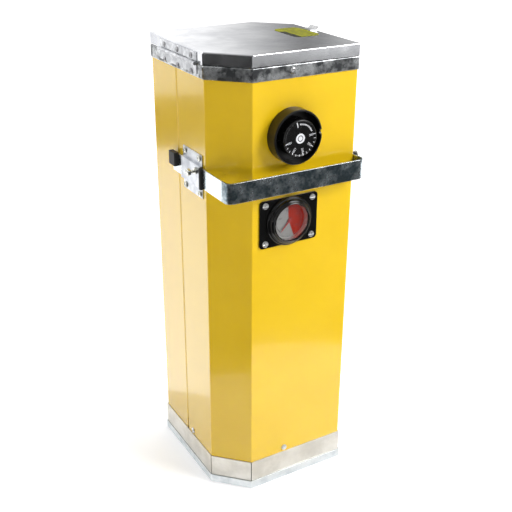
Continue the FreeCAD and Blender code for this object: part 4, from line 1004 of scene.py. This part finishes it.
def makeClampBolt(side):
    # one surface along the bolt's axis: the shank's radius falls by a triangle wave that climbs
    # one pitch a turn, and the head's radius is that of a hexagon, rounded down at both ends
    sign = -1.0 if side == "left" else 1.0
    low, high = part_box("clamp_bolt_" + side)
    centre = (low + high) / 2
    length = high.x - low.x
    shank = length - clamp["headHeight"]
    turns = np.linspace(0.0, 2 * math.pi, clamp["around"], endpoint=False)[None, :]
    shankRows = np.linspace(0.0, shank, int(shank / clamp["pitch"] * clamp["perPitch"]))
    headRows = shank + clamp["headHeight"] * np.array(clamp["headRows"])
    along = np.concatenate([shankRows, headRows])[:, None]
    tooth = np.abs((along / clamp["pitch"] - turns / (2 * math.pi)) % 1.0 - 0.5) * 2.0
    fade = np.clip((shank - clamp["plain"] - along) / clamp["pitch"], 0.0, 1.0)
    tip = np.clip(1.0 - along / clamp["point"], 0.0, 1.0) * clamp["point"]
    core = clamp["radius"] - clamp["threadDepth"] * tooth * fade - tip
    sixth = math.pi / 3
    hexagon = clamp["flats"] / 2 / np.cos((turns + sixth / 2) % sixth - sixth / 2)
    rise = (along - shank) / clamp["headHeight"]
    top = clamp["flats"] / 2 * (1.14 - 0.34 * np.clip((rise - 0.5) / 0.5, 0.0, 1.0) ** 3)
    seat = clamp["flats"] / 2 * (0.98 + 0.4 * np.clip(rise / 0.12, 0.0, 1.0))
    head = np.minimum(np.minimum(hexagon, top), seat)
    radius = np.where(along >= shank - 1e-9, head, core)
    start = centre.x - sign * length / 2
    grid = np.stack([start + sign * (along + 0 * turns), centre.y + radius * np.cos(turns),
                     centre.z + radius * np.sin(turns)], -1)
    points, faces = closedGrid(grid)
    name = "clampBolt" + side.capitalize()
    return makePiece(name, points, faces, boltSteel, side + "_clamp", "plated_steel",
                     "clamp_bolt_" + side)


for side in ("left", "right"):
    makeClampBolt(side)
print("clamp bolts are made")


seal = {
    "width": 6.0 * mm,
    "strands": 84,
    "plait": 0.45 * mm,         # depth of the braid
    "slant": 4,                 # strands round the section
    "around": 40,               # points round the section
    "light": (0.66, 0.64, 0.58),
    "dark": (0.34, 0.32, 0.28),
    "sleeve": (0.74, 0.72, 0.66),
    "sleeveDark": (0.42, 0.40, 0.35),
}


def wovenPaint(name, light, dark, size):
    # glass yarn: fine crossing threads, browned a little by heat
    paint = Paint(name)
    yarn = paint.noise(size, 3.0, 0.6, (1.0, 1.0, 0.4))
    heat = paint.noise(30 * mm, 3.0).rise(0.45, 0.75)
    colour = paint.tint(yarn * 1.2 - heat * 0.35, dark, light)
    return paint.finish(Base_Color=colour, Roughness=0.80 + yarn * 0.1, Sheen_Weight=0.25,
                        Normal=paint.bump(yarn, 0.10 * mm))


def makeSeal():
    # a ring of flattened round section whose surface rises where one of two opposite sets of
    # strands lies on top: the larger of two cosines that run round it slantwise
    low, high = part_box("lid_gasket")
    centre = (low + high) / 2
    width, height = seal["width"] / 2, (high.z - low.z) / 2
    orbit = (high.x - low.x) / 2 - width
    turn = np.linspace(0.0, 2 * math.pi, seal["strands"] * 8, endpoint=False)[:, None]
    lap = np.linspace(0.0, 2 * math.pi, seal["around"], endpoint=False)[None, :]
    strands = np.maximum(np.cos(seal["strands"] * turn + seal["slant"] * lap),
                         np.cos(seal["strands"] * turn - seal["slant"] * lap))
    sink = seal["plait"] * (0.5 - 0.5 * strands)
    squash = (np.abs(np.cos(lap)) ** 4 + np.abs(np.sin(lap)) ** 4) ** -0.25
    out = orbit + (width - sink) * squash * np.cos(lap)
    rise = (height - sink) * squash * np.sin(lap)
    grid = np.stack([centre.x + out * np.cos(turn), centre.y + out * np.sin(turn),
                     centre.z + rise + 0 * turn], -1)
    points, faces = closedGrid(grid, looped=True)
    return makePiece("lidSeal", points, faces,
                     wovenPaint("sealYarn", seal["light"], seal["dark"], 0.5 * mm), "lid",
                     "lead_sleeve", "lid_gasket")


makeSeal()
dress(wovenPaint("leadSleeve", seal["sleeve"], seal["sleeveDark"], 0.4 * mm), "wiring")
print("lid seal is made")


wool = {
    "voxel": 4.5 * mm,
    "sink": 0.9 * mm,
    "sunk": 0.8,                # mean depth and height of the waves, as shares of the sink
    "swell": 0.3,
    "light": (0.72, 0.66, 0.48),
    "dark": (0.50, 0.43, 0.27),
    "board": (0.74, 0.72, 0.66),
    "boardDark": (0.58, 0.55, 0.48),
}


def woolPaint(name, light, dark, size):
    paint = Paint(name)
    fibre = paint.noise(size, 4.0, 0.65, (3.0, 3.0, 0.6))
    clump = paint.noise(14 * mm, 3.0)
    colour = paint.tint(fibre * 0.9 + clump * 0.5 - 0.2, dark, light)
    return paint.finish(Base_Color=colour, Roughness=0.92 - fibre * 0.06, Sheen_Weight=0.3,
                        Normal=paint.bump(fibre, 0.35 * mm))


def makeWool(node, name, body, material):
    # the solid's own shape, remeshed, each point sunk along its normal by a sum of three waves
    mesh = nodes[node].data.copy()
    holder = bpy.data.objects.new(name + "Rough", mesh)
    bpy.context.scene.collection.objects.link(holder)
    shape = bmesh.new()
    shape.from_mesh(mesh)
    bmesh.ops.remove_doubles(shape, verts=shape.verts, dist=1e-6)
    shape.to_mesh(mesh)
    shape.free()
    remesh = holder.modifiers.new("remesh", "REMESH")
    remesh.mode = "VOXEL"
    remesh.voxel_size = wool["voxel"]
    bpy.context.view_layer.update()
    fine = bpy.data.meshes.new_from_object(holder.evaluated_get(
        bpy.context.evaluated_depsgraph_get()))
    points = np.zeros(len(fine.vertices) * 3)
    normals = np.zeros(len(fine.vertices) * 3)
    fine.vertices.foreach_get("co", points)
    fine.vertices.foreach_get("normal", normals)
    points, normals = points.reshape(-1, 3), normals.reshape(-1, 3)
    x, y, z = (points / mm).T
    waves = (np.sin(x * 0.71 + y * 0.33 + 1.0) * np.sin(z * 0.47 + y * 0.59)
             + 0.6 * np.sin(x * 1.3 - z * 1.1) + 0.4 * np.sin(y * 1.9 + z * 1.7 + x * 0.5))
    low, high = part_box(node)
    points = points - normals * wool["sink"] * (wool["sunk"] + wool["swell"] * waves)[:, None]
    points = np.clip(points, np.array(low), np.array(high))
    faces = [list(face.vertices) for face in fine.polygons]
    bpy.data.objects.remove(holder)
    return makePiece(name, points, faces, material, body, "mineral_wool", node)


woolYarn = woolPaint("woolFibre", wool["light"], wool["dark"], 0.6 * mm)
makeWool("insulation_blanket", "woolBlanket", "housing", woolYarn)
makeWool("lid_insulation", "woolPad", "lid", woolYarn)
dress(woolPaint("fibreBoard", wool["board"], wool["boardDark"], 0.4 * mm), "base_board")
print("wool is made")


print("all pieces are in place")
